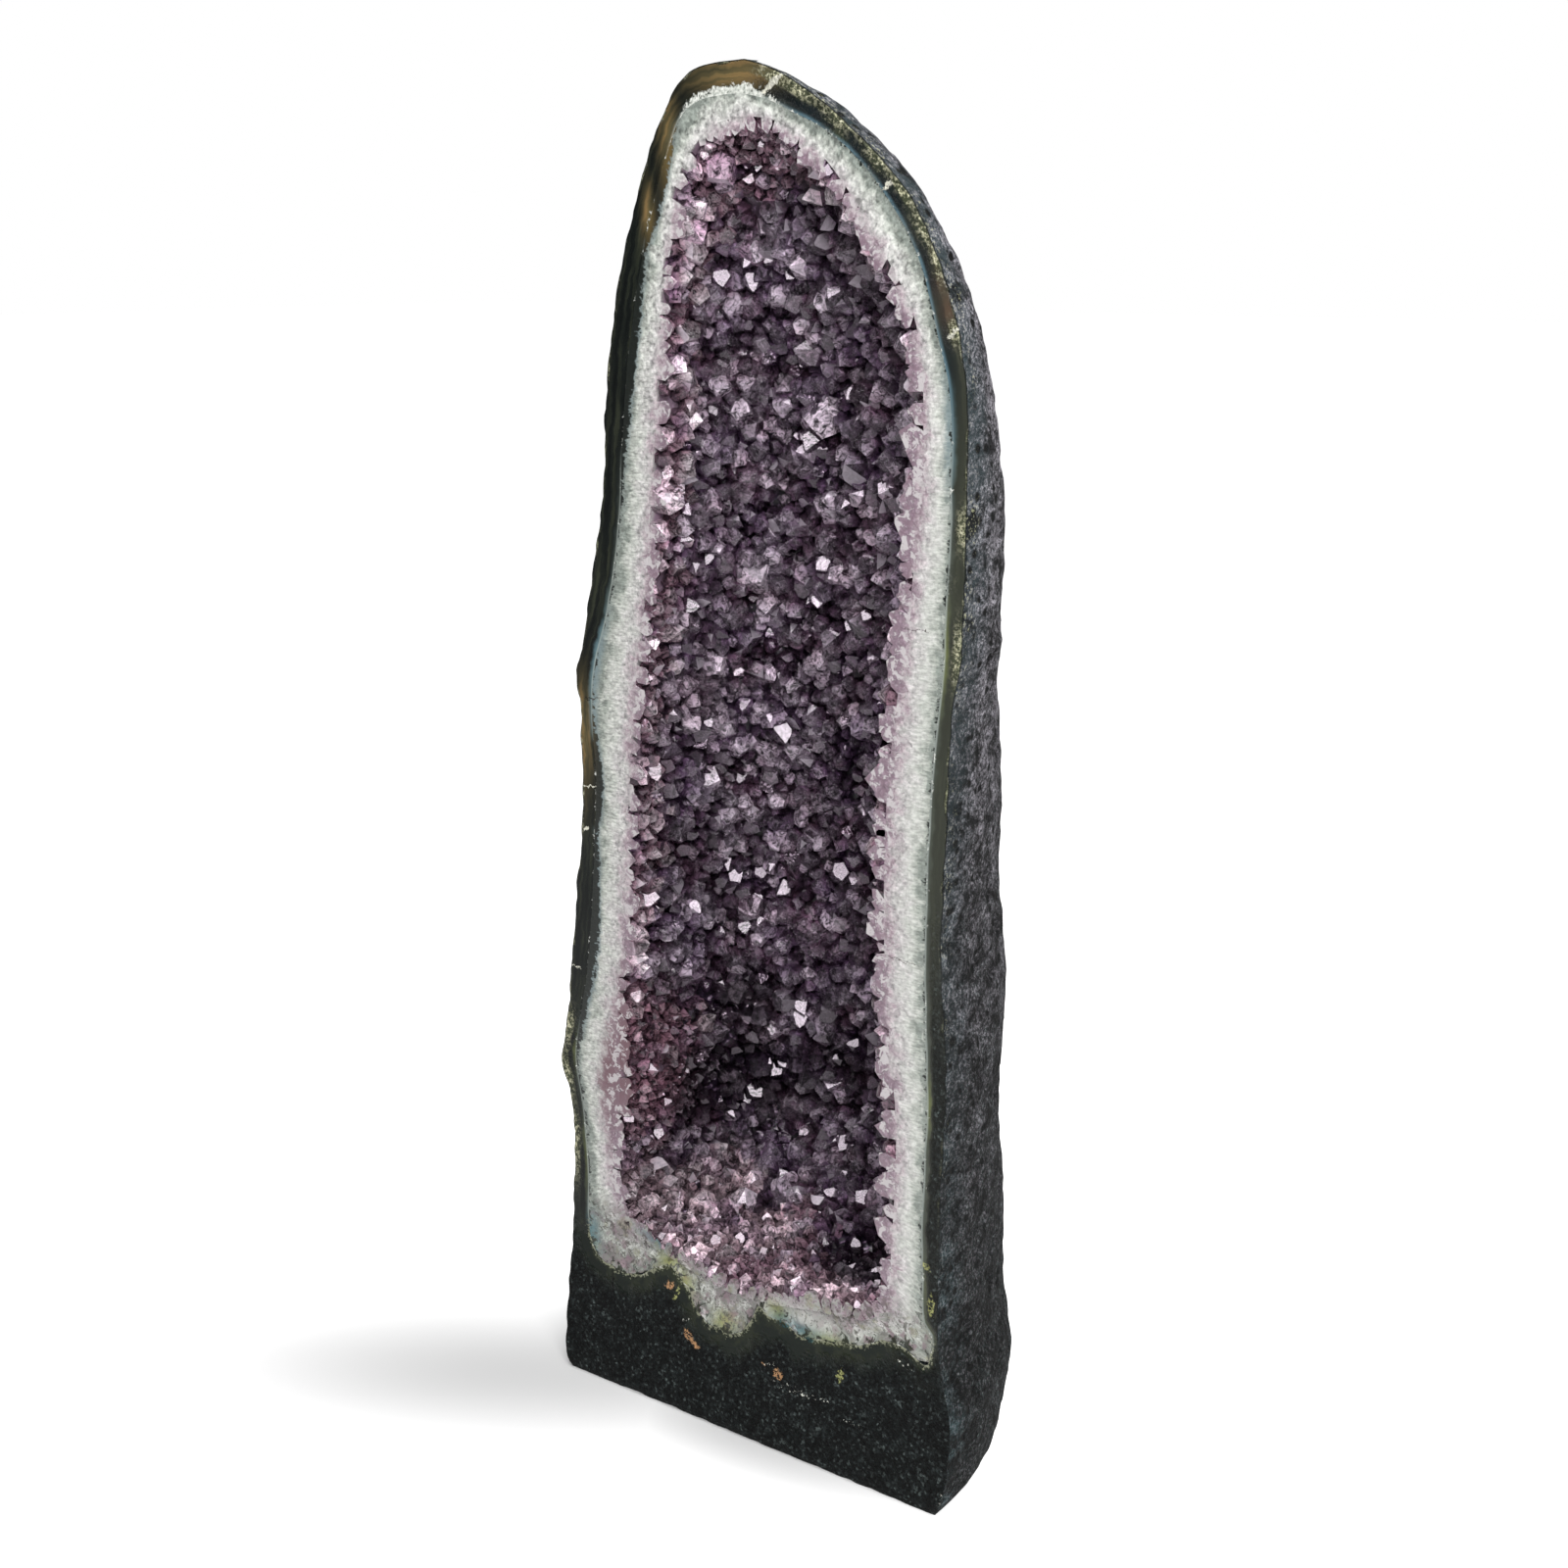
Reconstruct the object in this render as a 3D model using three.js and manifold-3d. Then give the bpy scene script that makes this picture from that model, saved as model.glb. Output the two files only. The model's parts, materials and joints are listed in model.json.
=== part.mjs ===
// Amethyst cathedral geode: a tall geode, sawn and polished down its front, that stands on a flat cut foot.
// Millimetres, +Z up. The polished face looks along -Y and the origin is the middle of the foot.
import * as THREE from "three";
import { mergeVertices } from "three/addons/utils/BufferGeometryUtils.js";
import Module from "manifold-3d";

// The polished face, and how far shapes run past it before they are sawn off there.
const FACE_Y = -84;
const SPARE = 16;
const SAWN_OFF_BLOCK = new THREE.Vector3(600, 200, 2000);

// The body's level sections are D-shaped: an ellipse's power is 2, a squarer one's is more.
const SECTION_POWER = 2.25;
const HEIGHT = 800;
const BODY_ROWS = 44;
const BODY_COLUMNS = 24;
const BASE_WEAR = 4;
// Rows crowd together towards the top, where the outline turns fastest: evenly spaced rows have a power of 1.
const ROW_CROWDING = 1.35;

// Each pair is a height and how far the face's edge is from the foot's middle there.
const LEFT_EDGE = [
  [0, -150], [52, -145], [115, -138], [169, -136], [197, -140], [212, -146], [233, -141], [267, -136],
  [325, -129], [387, -122], [440, -122], [460, -126], [477, -120], [524, -110], [569, -101], [614, -98],
  [683, -87], [723, -75], [760, -60], [784, -46], [795, -34], [799, -18], [HEIGHT, 2],
];
const RIGHT_EDGE = [
  [0, 143], [57, 149], [97, 141], [159, 139], [267, 142], [347, 137], [401, 139], [464, 141], [508, 147],
  [617, 148], [655, 143], [683, 135], [706, 125], [724, 115], [742, 100], [760, 79], [775, 60],
  [788, 38], [796, 21], [HEIGHT, 6],
];
// Each pair is a height and how deep the body is there, from the face to its back.
const BODY_DEPTH = [
  [0, 160], [110, 172], [170, 165], [272, 154], [398, 144], [452, 136], [524, 110], [632, 88],
  [686, 72], [720, 58], [760, 48], [785, 32], [HEIGHT, 14],
];

// Shares of the body's depth taken by the hollow with its crust, and by the open hollow alone.
const LINED_DEPTH = 0.86;
const OPEN_DEPTH = 0.7;
// Above and below these heights the hollow rounds off into its roof and its floor, about a middle line that
// is this far from the foot's middle at its lower and at its upper end.
const FLOOR_HINGE = 185;
const ROOF_HINGE = 660;
const HINGE_X = [4, 20];

// Points of the line on the face where the agate meets the white quartz: offset and height.
const AGATE_LINE = [
  [-113, 97], [-123, 140], [-126, 185], [-131, 216], [-127, 245], [-119, 285], [-114, 334], [-110, 395],
  [-111, 455], [-97, 503], [-88, 550], [-82, 620], [-73, 675], [-62, 717], [-49, 752], [-33, 777],
  [0, 783], [31, 775], [74, 752], [111, 709], [126, 668], [136, 630], [137, 570], [134, 490], [128, 420],
  [126, 330], [129, 250], [127, 179], [127, 130], [131, 98], [90, 96], [40, 86], [-2, 68], [-40, 88],
  [-70, 88],
];
// Points of the line on the face where the crystals' cut ends stop and the open hollow begins.
const HOLLOW_LINE = [
  [-92, 118], [-104, 160], [-106, 205], [-97, 250], [-90, 300], [-84, 360], [-78, 430], [-71, 490],
  [-63, 550], [-56, 620], [-50, 690], [-41, 736], [-16, 764], [20, 767], [49, 752], [70, 731], [89, 705],
  [112, 666], [117, 608], [112, 540], [104, 470], [99, 400], [97, 340], [101, 280], [106, 230],
  [104, 165], [98, 118], [50, 106], [0, 98], [-48, 106],
];

// The smooth hollow: steps round its rim, rings down its wall, the share of a quarter turn at which the last
// ring lies, and steps along its deepest line.
const LINE_STEPS = 46;
const WALL_STEPS = 8;
const LAST_TURN = 0.9;
const DEEPEST_STEPS = 9;
// The crust is this much smaller than the hollow that it lines.
const GAP = 0.35;

// Crystals: the least distance between two feet, and how far a tip stands up from its foot. With a power
// above 1, more crystals are low than high. The lean is a share of the tip's own direction.
const TIP_SPACING = 12.6;
const TIP_RISE = [8, 15];
const RISE_POWER = 1.5;
const TIP_LEAN = 0.3;
const TRIES = 20000;
const SEED = 41;
// The wall's sheet of crystals: steps round its edge, how long the wall is from its rim to its deepest line,
// the half width and half height of the flat oval onto which it is rolled out, and shares of its length that
// keep the crystals off its edge and that measure its slope.
const RING_STEPS = 150;
const WALL_REACH = 190;
const SHEET = new THREE.Vector2(148, 392);
const EDGE_MARGIN = 0.02;
const NUDGE = 0.004;

// Points nearer than this are one point, and this is farther off than any point.
const WELD = 0.001;
const FAR = 1e5;

// Swellings of the hollow's wall: where, how wide, and how far they rise. A pit has a negative rise.
const WALL_SWELLS = [
  { x: -98, y: -52, z: 204, wide: 42, rise: 25 },
  { x: -52, y: 8, z: 170, wide: 38, rise: -15 },
  { x: 20, y: -30, z: 118, wide: 40, rise: 12 },
  { x: 58, y: -33, z: 118, wide: 26, rise: -9 },
  { x: 95, y: -25, z: 420, wide: 60, rise: 8 },
  { x: -60, y: -20, z: 520, wide: 50, rise: 7 },
];
// Swellings and pits of the rough outside.
const BODY_SWELLS = [
  { x: 150, y: -20, z: 560, wide: 60, rise: 4 },
  { x: 120, y: 40, z: 330, wide: 55, rise: 5 },
  { x: 0, y: 85, z: 120, wide: 70, rise: 4 },
  { x: -60, y: 60, z: 260, wide: 45, rise: -5 },
  { x: 60, y: 30, z: 460, wide: 40, rise: -5 },
  { x: -110, y: 10, z: 420, wide: 50, rise: 5 },
  { x: 30, y: 0, z: 640, wide: 45, rise: 4 },
  { x: -40, y: 20, z: 560, wide: 38, rise: -4 },
];

// Waves that make the outside lumpy: how far they rise, the height up to which they fade in, and how many
// millimetres each of their sines takes for one radian.
const LUMP_RISE = 1.3;
const LUMPS_FULL_FROM = 40;
const WAVES = [23, 41, 47, 31, 17, 53, 29, 37];

// The value that a table of pairs gives at a height.
function along(table, height) {
  const last = table.findIndex(([h]) => h >= height);
  if (last <= 0) return table[last === 0 ? 0 : table.length - 1][1];
  const [lowHeight, low] = table[last - 1];
  const [highHeight, high] = table[last];
  return low + ((high - low) * (height - lowHeight)) / (highHeight - lowHeight);
}

// How far a point is moved by a list of swellings.
function swell(point, swells) {
  return swells.reduce((sum, s) => {
    const distance = Math.hypot(point.x - s.x, point.y - s.y, point.z - s.z);
    return sum + s.rise * Math.exp(-((distance / s.wide) ** 2));
  }, 0);
}

// A superellipse's two coordinates at a turn, from 0 to a quarter.
const squareCos = (turn) => Math.max(Math.cos(turn), 0) ** (2 / SECTION_POWER);
const squareSin = (turn) => Math.max(Math.sin(turn), 0) ** (2 / SECTION_POWER);

const wasm = await Module();
wasm.setup();

// A closed mesh as a solid that can be joined and cut.
function solidOf(geometry) {
  const bare = geometry.clone();
  bare.deleteAttribute("normal");
  bare.deleteAttribute("uv");
  const merged = mergeVertices(bare, WELD);
  return new wasm.Manifold(
    new wasm.Mesh({
      numProp: 3,
      vertProperties: new Float32Array(merged.attributes.position.array),
      triVerts: new Uint32Array(merged.index.array),
    }),
  );
}

// A geometry from points and the indices of its triangles.
function geometryOf(points, triangles) {
  return new THREE.BufferGeometry().setFromPoints(points).setIndex(triangles.flat());
}

// A named mesh from a solid, of its largest body alone.
function meshOf(name, solid, material) {
  const body = solid.decompose().sort((a, b) => b.volume() - a.volume())[0];
  const { vertProperties, triVerts } = body.getMesh();
  const geometry = new THREE.BufferGeometry();
  geometry.setAttribute("position", new THREE.BufferAttribute(new Float32Array(vertProperties), 3));
  geometry.setIndex(new THREE.BufferAttribute(new Uint32Array(triVerts), 1));
  geometry.computeVertexNormals();
  const mesh = new THREE.Mesh(geometry, material);
  mesh.name = name;
  return mesh;
}

// Everything in front of the polished face.
function sawnOff() {
  const block = new THREE.BoxGeometry(...SAWN_OFF_BLOCK);
  block.translate(0, FACE_Y - SAWN_OFF_BLOCK.y / 2, HEIGHT / 2);
  return solidOf(block);
}

// One point of the body's outside: turn runs from the face's right edge round the back to its left one.
function bodyPoint(height, turn) {
  const left = along(LEFT_EDGE, height);
  const right = along(RIGHT_EDGE, height);
  const wear = height === 0 ? BASE_WEAR : 0;
  const reach = (right - left) / 2 - wear;
  const side = turn > Math.PI / 2 ? -1 : 1;
  const quarter = side > 0 ? turn : Math.PI - turn;
  const point = new THREE.Vector3(
    (left + right) / 2 + side * reach * squareCos(quarter),
    FACE_Y + (along(BODY_DEPTH, height) - wear) * squareSin(quarter),
    height,
  );
  const [a, b, c, d, e, f, g, h] = WAVES;
  const waves =
    Math.sin(point.x / a + point.z / b) * Math.sin(point.z / c - point.x / d + 1) +
    Math.sin(point.y / e + point.z / f + 2) * Math.sin(point.z / g + point.x / h);
  const inland = Math.sqrt(Math.sin(turn)) * Math.min(height / LUMPS_FULL_FROM, 1);
  const rise = inland * (LUMP_RISE * waves + swell(point, BODY_SWELLS));
  point.x += side * rise * Math.cos(quarter);
  point.y += rise * Math.sin(quarter);
  return point;
}

// The rough lump before it is sawn and before its hollow is taken out.
function wholeBody() {
  const points = [];
  // A row goes round the back from one edge to the other and has two corners in front of the face.
  const ring = BODY_COLUMNS + 1 + 2;
  for (let i = 0; i <= BODY_ROWS; i++) {
    const height = HEIGHT * (1 - (1 - i / BODY_ROWS) ** ROW_CROWDING);
    const row = Array.from({ length: BODY_COLUMNS + 1 }, (_, j) =>
      bodyPoint(height, (Math.PI * j) / BODY_COLUMNS),
    );
    const frontRight = row[0].clone().setY(FACE_Y - SPARE);
    const frontLeft = row[BODY_COLUMNS].clone().setY(FACE_Y - SPARE);
    points.push(...row, frontLeft, frontRight);
  }
  const triangles = [];
  for (let i = 0; i < BODY_ROWS; i++)
    for (let j = 0; j < ring; j++) {
      const next = (j + 1) % ring;
      const [a, b, c, d] = [i * ring + j, i * ring + next, (i + 1) * ring + next, (i + 1) * ring + j];
      triangles.push([a, b, c], [a, c, d]);
    }
  const top = BODY_ROWS * ring;
  for (let j = 1; j < ring - 1; j++) triangles.push([0, j + 1, j], [top, top + j, top + j + 1]);
  return solidOf(geometryOf(points, triangles));
}

// A closed smooth line on the face through the given points, as evenly spaced points with no depth.
function faceLine(pairs, steps) {
  const corners = pairs.map(([x, z]) => new THREE.Vector3(x, 0, z));
  const curve = new THREE.CatmullRomCurve3(corners, true);
  return curve.getSpacedPoints(steps).slice(0, steps);
}

// The point on the hollow's middle line that a point of its rim turns about.
function hingeOf(rim) {
  const z = THREE.MathUtils.clamp(rim.z, FLOOR_HINGE, ROOF_HINGE);
  const x = THREE.MathUtils.mapLinear(z, FLOOR_HINGE, ROOF_HINGE, HINGE_X[0], HINGE_X[1]);
  return new THREE.Vector3(x, 0, z);
}

// A point of the hollow's wall: turn is 0 at the rim and a quarter turn at the deepest line.
function wallPoint(rim, turn, depthShare, inset) {
  const hinge = hingeOf(rim);
  const out = rim.clone().sub(hinge);
  out.setLength(out.length() - inset);
  const point = hinge.addScaledVector(out, squareCos(turn));
  const depth = depthShare * along(BODY_DEPTH, point.z) - inset;
  return point.setY(FACE_Y + depth * squareSin(turn));
}

// The hollow as a closed solid that runs past the face, with smooth walls.
function smoothHollow(inset) {
  const rim = faceLine(AGATE_LINE, LINE_STEPS);
  const lastTurn = (LAST_TURN * Math.PI) / 2;
  const turns = Array.from({ length: WALL_STEPS + 1 }, (_, i) => (lastTurn * i) / WALL_STEPS);
  const rings = [
    rim.map((p) => wallPoint(p, 0, LINED_DEPTH, inset).setY(FACE_Y - SPARE)),
    ...turns.map((turn) => rim.map((p) => wallPoint(p, turn, LINED_DEPTH, inset))),
  ];
  const triangles = [];
  for (let i = 0; i < rings.length - 1; i++)
    for (let j = 0; j < LINE_STEPS; j++) {
      const next = (j + 1) % LINE_STEPS;
      const [a, b] = [i * LINE_STEPS + j, i * LINE_STEPS + next];
      const [c, d] = [b + LINE_STEPS, a + LINE_STEPS];
      triangles.push([a, b, c], [a, c, d]);
    }
  lidOf(rings[0]).forEach(([a, b, c]) => triangles.push([a, c, b]));

  // The last ring is zipped onto points along the deepest line.
  const points = rings.flat();
  const last = (rings.length - 1) * LINE_STEPS;
  const deepest = points.length;
  for (let i = 0; i <= DEEPEST_STEPS; i++) {
    const z = THREE.MathUtils.lerp(FLOOR_HINGE, ROOF_HINGE, i / DEEPEST_STEPS);
    const hinge = hingeOf(new THREE.Vector3(0, 0, z));
    points.push(hinge.setY(FACE_Y + LINED_DEPTH * along(BODY_DEPTH, z) - inset));
  }
  const nearest = (j) => {
    const share = (hingeOf(rim[j]).z - FLOOR_HINGE) / (ROOF_HINGE - FLOOR_HINGE);
    return deepest + Math.round(share * DEEPEST_STEPS);
  };
  for (let j = 0; j < LINE_STEPS; j++) {
    const next = (j + 1) % LINE_STEPS;
    triangles.push([last + j, last + next, nearest(j)]);
    if (nearest(next) !== nearest(j)) triangles.push([nearest(j), last + next, nearest(next)]);
  }
  return outwards(solidOf(geometryOf(points, triangles)), points, triangles);
}

// Triangles that close a ring of points, turning the way that the ring does as seen from the front.
function lidOf(ring) {
  const flat = ring.map((p) => new THREE.Vector2(p.x, p.z));
  const clockwise = (points) => THREE.ShapeUtils.isClockWise(points);
  return THREE.ShapeUtils.triangulateShape(flat, []).map(([a, b, c]) =>
    clockwise([flat[a], flat[b], flat[c]]) === clockwise(flat) ? [a, b, c] : [a, c, b],
  );
}

// A solid with its faces pointing out, whichever way round its triangles were listed.
function outwards(solid, points, triangles) {
  if (solid.volume() > 0) return solid;
  return solidOf(geometryOf(points, triangles.map(([a, b, c]) => [a, c, b])));
}

// Whether a flat point lies in the circle through the three corners of a triangle that turns anticlockwise.
function inCircle(corners, point) {
  const [a, b, c] = corners.map((corner) => corner.clone().sub(point));
  return a.lengthSq() * b.cross(c) + b.lengthSq() * c.cross(a) + c.lengthSq() * a.cross(b) > 0;
}

// Triangles between flat points, such that no point lies in the circle through another triangle's corners.
function netOf(flatPoints) {
  const count = flatPoints.length;
  const all = [
    ...flatPoints,
    new THREE.Vector2(-FAR, -FAR),
    new THREE.Vector2(FAR, -FAR),
    new THREE.Vector2(0, FAR),
  ];
  let net = [[count, count + 1, count + 2]];
  flatPoints.forEach((point, index) => {
    const edges = new Map();
    net = net.filter((corners) => {
      if (!inCircle(corners.map((c) => all[c]), point)) return true;
      const [a, b, c] = corners;
      [[a, b], [b, c], [c, a]].forEach(([from, to]) => {
        if (!edges.delete(`${to},${from}`)) edges.set(`${from},${to}`, [from, to]);
      });
      return false;
    });
    edges.forEach(([from, to]) => net.push([from, to, index]));
  });
  return net.filter((corners) => corners.every((c) => c < count));
}

// The hollow with its crystals: a closed solid whose wall is packed with six-sided points that stand into it.
function crystalHollow() {
  // Seeded once, so that every run gives the same crystals.
  const random = () => THREE.MathUtils.seededRandom();
  THREE.MathUtils.seededRandom(SEED);
  const rimCurve = new THREE.CatmullRomCurve3(HOLLOW_LINE.map(([x, z]) => new THREE.Vector3(x, 0, z)), true);
  const middle = new THREE.Vector2((HINGE_X[0] + HINGE_X[1]) / 2, (FLOOR_HINGE + ROOF_HINGE) / 2);
  const ringShare = 1 + SPARE / WALL_REACH;

  // A place on the wall: around the rim, and in from it, where 0 is the deepest line and 1 the face.
  const wallAt = (around, share) => {
    const rim = rimCurve.getPointAt(((around % 1) + 1) % 1);
    const turn = (Math.min(1 - share, 1) * Math.PI) / 2;
    if (share <= 1) return wallPoint(rim, turn, OPEN_DEPTH, 0);
    return wallPoint(rim, 0, OPEN_DEPTH, 0).setY(FACE_Y - (share - 1) * WALL_REACH);
  };
  // The same place on a flat oval sheet, onto which the wall is rolled out about its middle line.
  const rolledOut = (around, share) => {
    const rim = rimCurve.getPointAt(around);
    const turn = Math.atan2((rim.z - middle.y) / SHEET.y, (rim.x - middle.x) / SHEET.x);
    const edge = new THREE.Vector2(SHEET.x * Math.cos(turn), SHEET.y * Math.sin(turn));
    return new THREE.Vector2(0, hingeOf(rim).z - middle.y).lerp(edge, share / ringShare);
  };
  const feet = [];
  const flat = [];
  for (let i = 0; i < RING_STEPS; i++) {
    feet.push(wallAt(i / RING_STEPS, ringShare));
    flat.push(rolledOut(i / RING_STEPS, ringShare));
  }
  const tips = feet.map((p) => p.clone());

  for (let i = 0; i < TRIES; i++) {
    const around = random();
    const share = random() * (ringShare - EDGE_MARGIN);
    const foot = wallAt(around, share);
    const sideways = wallAt(around + NUDGE, share).sub(wallAt(around - NUDGE, share));
    const inwards = wallAt(around, share + NUDGE).sub(wallAt(around, Math.max(share - NUDGE, 0)));
    const intoHollow = sideways.cross(inwards).normalize();
    const towardsMiddle = hingeOf(foot).setY(FACE_Y).sub(foot);
    if (intoHollow.dot(towardsMiddle) < 0) intoHollow.negate();
    foot.addScaledVector(intoHollow, swell(foot, WALL_SWELLS));
    if (feet.some((p) => p.distanceTo(foot) < TIP_SPACING)) continue;
    const sway = () => TIP_LEAN * (2 * random() - 1);
    const lean = new THREE.Vector3(sway(), sway(), sway());
    const rise = THREE.MathUtils.lerp(TIP_RISE[0], TIP_RISE[1], random() ** RISE_POWER);
    feet.push(foot);
    flat.push(rolledOut(around, share));
    tips.push(foot.clone().addScaledVector(intoHollow.add(lean).normalize(), rise));
  }

  // Between three neighbouring crystals lies one low point, and every crystal is a fan from its tip to these.
  const net = netOf(flat);
  const lows = net.map((corners) =>
    corners.reduce((sum, c) => sum.addScaledVector(feet[c], 1 / 3), new THREE.Vector3()),
  );
  const lowIndex = (t) => tips.length + t;
  const owner = new Map();
  net.forEach(([a, b, c], t) => [[a, b], [b, c], [c, a]].forEach((edge) => owner.set(edge.join(), t)));
  const triangles = [];
  owner.forEach((t, edge) => {
    const [a, b] = edge.split(",").map(Number);
    const across = owner.get(`${b},${a}`);
    if (across === undefined) triangles.push([a, b, lowIndex(t)]);
    else triangles.push([a, lowIndex(across), lowIndex(t)]);
  });
  // The rim is listed clockwise and the net turns anticlockwise, so the lid goes on as it is.
  triangles.push(...lidOf(feet.slice(0, RING_STEPS)));
  const points = [...tips, ...lows];
  return outwards(solidOf(geometryOf(points, triangles)), points, triangles);
}

const rockMaterial = new THREE.MeshStandardMaterial({ color: "#2b322e", roughness: 0.85, metalness: 0 });
const quartzMaterial = new THREE.MeshStandardMaterial({ color: "#7d6688", roughness: 0.2, metalness: 0 });

const front = sawnOff();
const rock = wholeBody().subtract(smoothHollow(0)).subtract(front);
const crust = smoothHollow(GAP).subtract(crystalHollow()).subtract(front);

const geode = new THREE.Group();
geode.add(meshOf("geode_rock", rock, rockMaterial));
geode.add(meshOf("amethyst_crust", crust, quartzMaterial));

export default geode;
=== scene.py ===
import json
import math

import bmesh
import bpy
import numpy as np
from mathutils import Euler, Matrix, Vector, noise
from mathutils.bvhtree import BVHTree

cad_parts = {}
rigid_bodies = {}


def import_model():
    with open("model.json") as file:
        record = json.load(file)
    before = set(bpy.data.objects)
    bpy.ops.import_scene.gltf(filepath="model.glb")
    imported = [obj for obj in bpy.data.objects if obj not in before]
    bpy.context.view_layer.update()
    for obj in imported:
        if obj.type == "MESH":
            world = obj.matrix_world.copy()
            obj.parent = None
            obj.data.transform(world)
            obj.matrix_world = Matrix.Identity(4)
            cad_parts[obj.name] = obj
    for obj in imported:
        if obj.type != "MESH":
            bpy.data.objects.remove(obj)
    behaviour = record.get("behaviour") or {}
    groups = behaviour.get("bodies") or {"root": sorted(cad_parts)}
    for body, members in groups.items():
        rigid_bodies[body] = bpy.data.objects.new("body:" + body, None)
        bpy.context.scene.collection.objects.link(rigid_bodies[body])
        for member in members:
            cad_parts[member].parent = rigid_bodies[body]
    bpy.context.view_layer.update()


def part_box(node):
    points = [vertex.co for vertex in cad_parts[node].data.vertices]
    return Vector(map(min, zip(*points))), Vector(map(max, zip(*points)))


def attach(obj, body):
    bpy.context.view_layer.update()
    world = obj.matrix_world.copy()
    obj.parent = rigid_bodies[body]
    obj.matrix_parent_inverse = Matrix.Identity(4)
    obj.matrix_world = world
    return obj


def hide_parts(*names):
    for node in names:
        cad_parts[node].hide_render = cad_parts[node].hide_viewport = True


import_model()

# Millimetres, as in the solids. The polished face lies at FACE_Y and looks along -Y.
MM = 0.001
FACE_Y = -84.0
HEIGHT = 800.0
SECTION_POWER = 2.25
BASE_WEAR = 5.0
WEAR_HEIGHT = 18.0
FACE_WEAR = 2.5
FACE_WEAR_HEIGHT = 8.0

# Height, and how far the face's edge is from the foot's middle there.
LEFT_EDGE = [
    (0, -150), (52, -145), (115, -138), (169, -136), (197, -140), (212, -146), (233, -141), (267, -136),
    (325, -129), (387, -122), (440, -122), (460, -126), (477, -120), (524, -110), (569, -101), (614, -98),
    (683, -87), (723, -75), (760, -60), (784, -46), (795, -34), (799, -18), (800, 2),
]
RIGHT_EDGE = [
    (0, 143), (57, 149), (97, 141), (159, 139), (267, 142), (347, 137), (401, 139), (464, 141), (508, 147),
    (617, 148), (655, 143), (683, 135), (706, 125), (724, 115), (742, 100), (760, 79), (775, 60),
    (788, 38), (796, 21), (800, 6),
]
# Height, and how deep the body is there behind the face.
BODY_DEPTH = [
    (0, 160), (110, 172), (170, 165), (272, 154), (398, 144), (452, 136), (524, 110), (632, 88),
    (686, 72), (720, 58), (760, 48), (785, 32), (800, 14),
]
# Offset and height along the line where the agate meets the white quartz, as in the solids but with its lower
# border drawn finely.
AGATE_LINE = [
    (-124, 108), (-123, 140), (-126, 185), (-131, 216), (-127, 245), (-119, 285), (-114, 334), (-110, 395),
    (-111, 455), (-97, 503), (-88, 550), (-82, 620), (-73, 675), (-62, 717), (-49, 752), (-33, 777),
    (0, 783), (31, 775), (74, 752), (111, 709), (126, 668), (136, 630), (137, 570), (134, 490), (128, 420),
    (126, 330), (129, 250), (127, 179), (128, 148), (128, 132), (130, 119), (135, 114), (136, 104), (134, 97),
    (128, 95), (122, 99), (112, 102), (101, 100), (85, 91), (65, 88), (53, 86), (42, 84), (31, 88), (19, 89),
    (12, 93), (6, 82), (-3, 71), (-18, 68), (-34, 72), (-39, 80), (-45, 90), (-50, 95), (-58, 99), (-70, 93),
    (-80, 86), (-92, 83), (-104, 84), (-114, 86), (-121, 93),
]
# Offset and height along the line where the sawn crystals stop and the open hollow begins.
HOLLOW_LINE = [
    (-92, 118), (-104, 160), (-106, 205), (-97, 250), (-90, 300), (-84, 360), (-78, 430), (-71, 490),
    (-63, 550), (-56, 620), (-50, 690), (-41, 736), (-16, 764), (20, 767), (49, 752), (70, 731), (89, 705),
    (112, 666), (117, 608), (112, 540), (104, 470), (99, 400), (97, 340), (101, 280), (106, 230),
    (104, 165), (98, 118), (50, 106), (0, 98), (-48, 106),
]
# Shares of the body's depth taken by the lined hollow and by the open one, and the line that both turn about.
LINED_DEPTH = 0.86
OPEN_DEPTH = 0.7
FLOOR_HINGE, ROOF_HINGE = 185.0, 660.0
HINGE_X = (4.0, 20.0)

# Swellings: where, how wide and how far they rise. A pit has a negative rise.
WALL_SWELLS = [
    (-98, -52, 204, 42, 25), (-52, 8, 170, 38, -15), (20, -30, 118, 40, 12), (58, -33, 118, 26, -9),
    (95, -25, 420, 60, 8), (-60, -20, 520, 50, 7),
]
BODY_SWELLS = [
    (150, -20, 560, 60, 4), (120, 40, 330, 55, 5), (0, 85, 120, 70, 4), (-60, 60, 260, 45, -5),
    (60, 30, 460, 40, -5), (-110, 10, 420, 50, 5), (30, 0, 640, 45, 4), (-40, 20, 560, 38, -4),
]
LUMP_RISE = 1.3
# Pits in the outside, how far behind the face its grain reaches full height, and what the chips take off the
# face's edge in the mean.
PIT_DEPTH = 5.5
GRAIN_FULL = 14.0
EDGE_CHIPPED = 0.9
# Chips along the rind, and the height up to which the foot is grainy and the quartz broken.
CHIP_DEPTH = 1.6
GRAINY_TOP = 62.0
BROKEN_TOP = 126.0

# On the foot the polished agate goes over into rough basalt this far under its line.
AGATE_UNDER = 2.0
FOOT_TOP = 100.0

# How finely the surfaces are divided.
BODY_ROWS = 250
BODY_COLUMNS = 130
FOOT_COLUMNS = 80
FACE_STEPS = 20
BOWL_STEPS = 10
QUARTZ_STEPS = 9
WALL_STEPS = 34
LINE_SAMPLES = 16

# The quartz bed lies this far under the crystals' feet, and their undersides are trimmed just inside it.
BED_BELOW = 3.0
TRIM_BELOW = 4.5
SAW_SPARE = 16.0
# The crystals' sawn ends lie this far behind the quartz's face, so that the two never share a plane.
SAWN_BEHIND = 0.15


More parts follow.
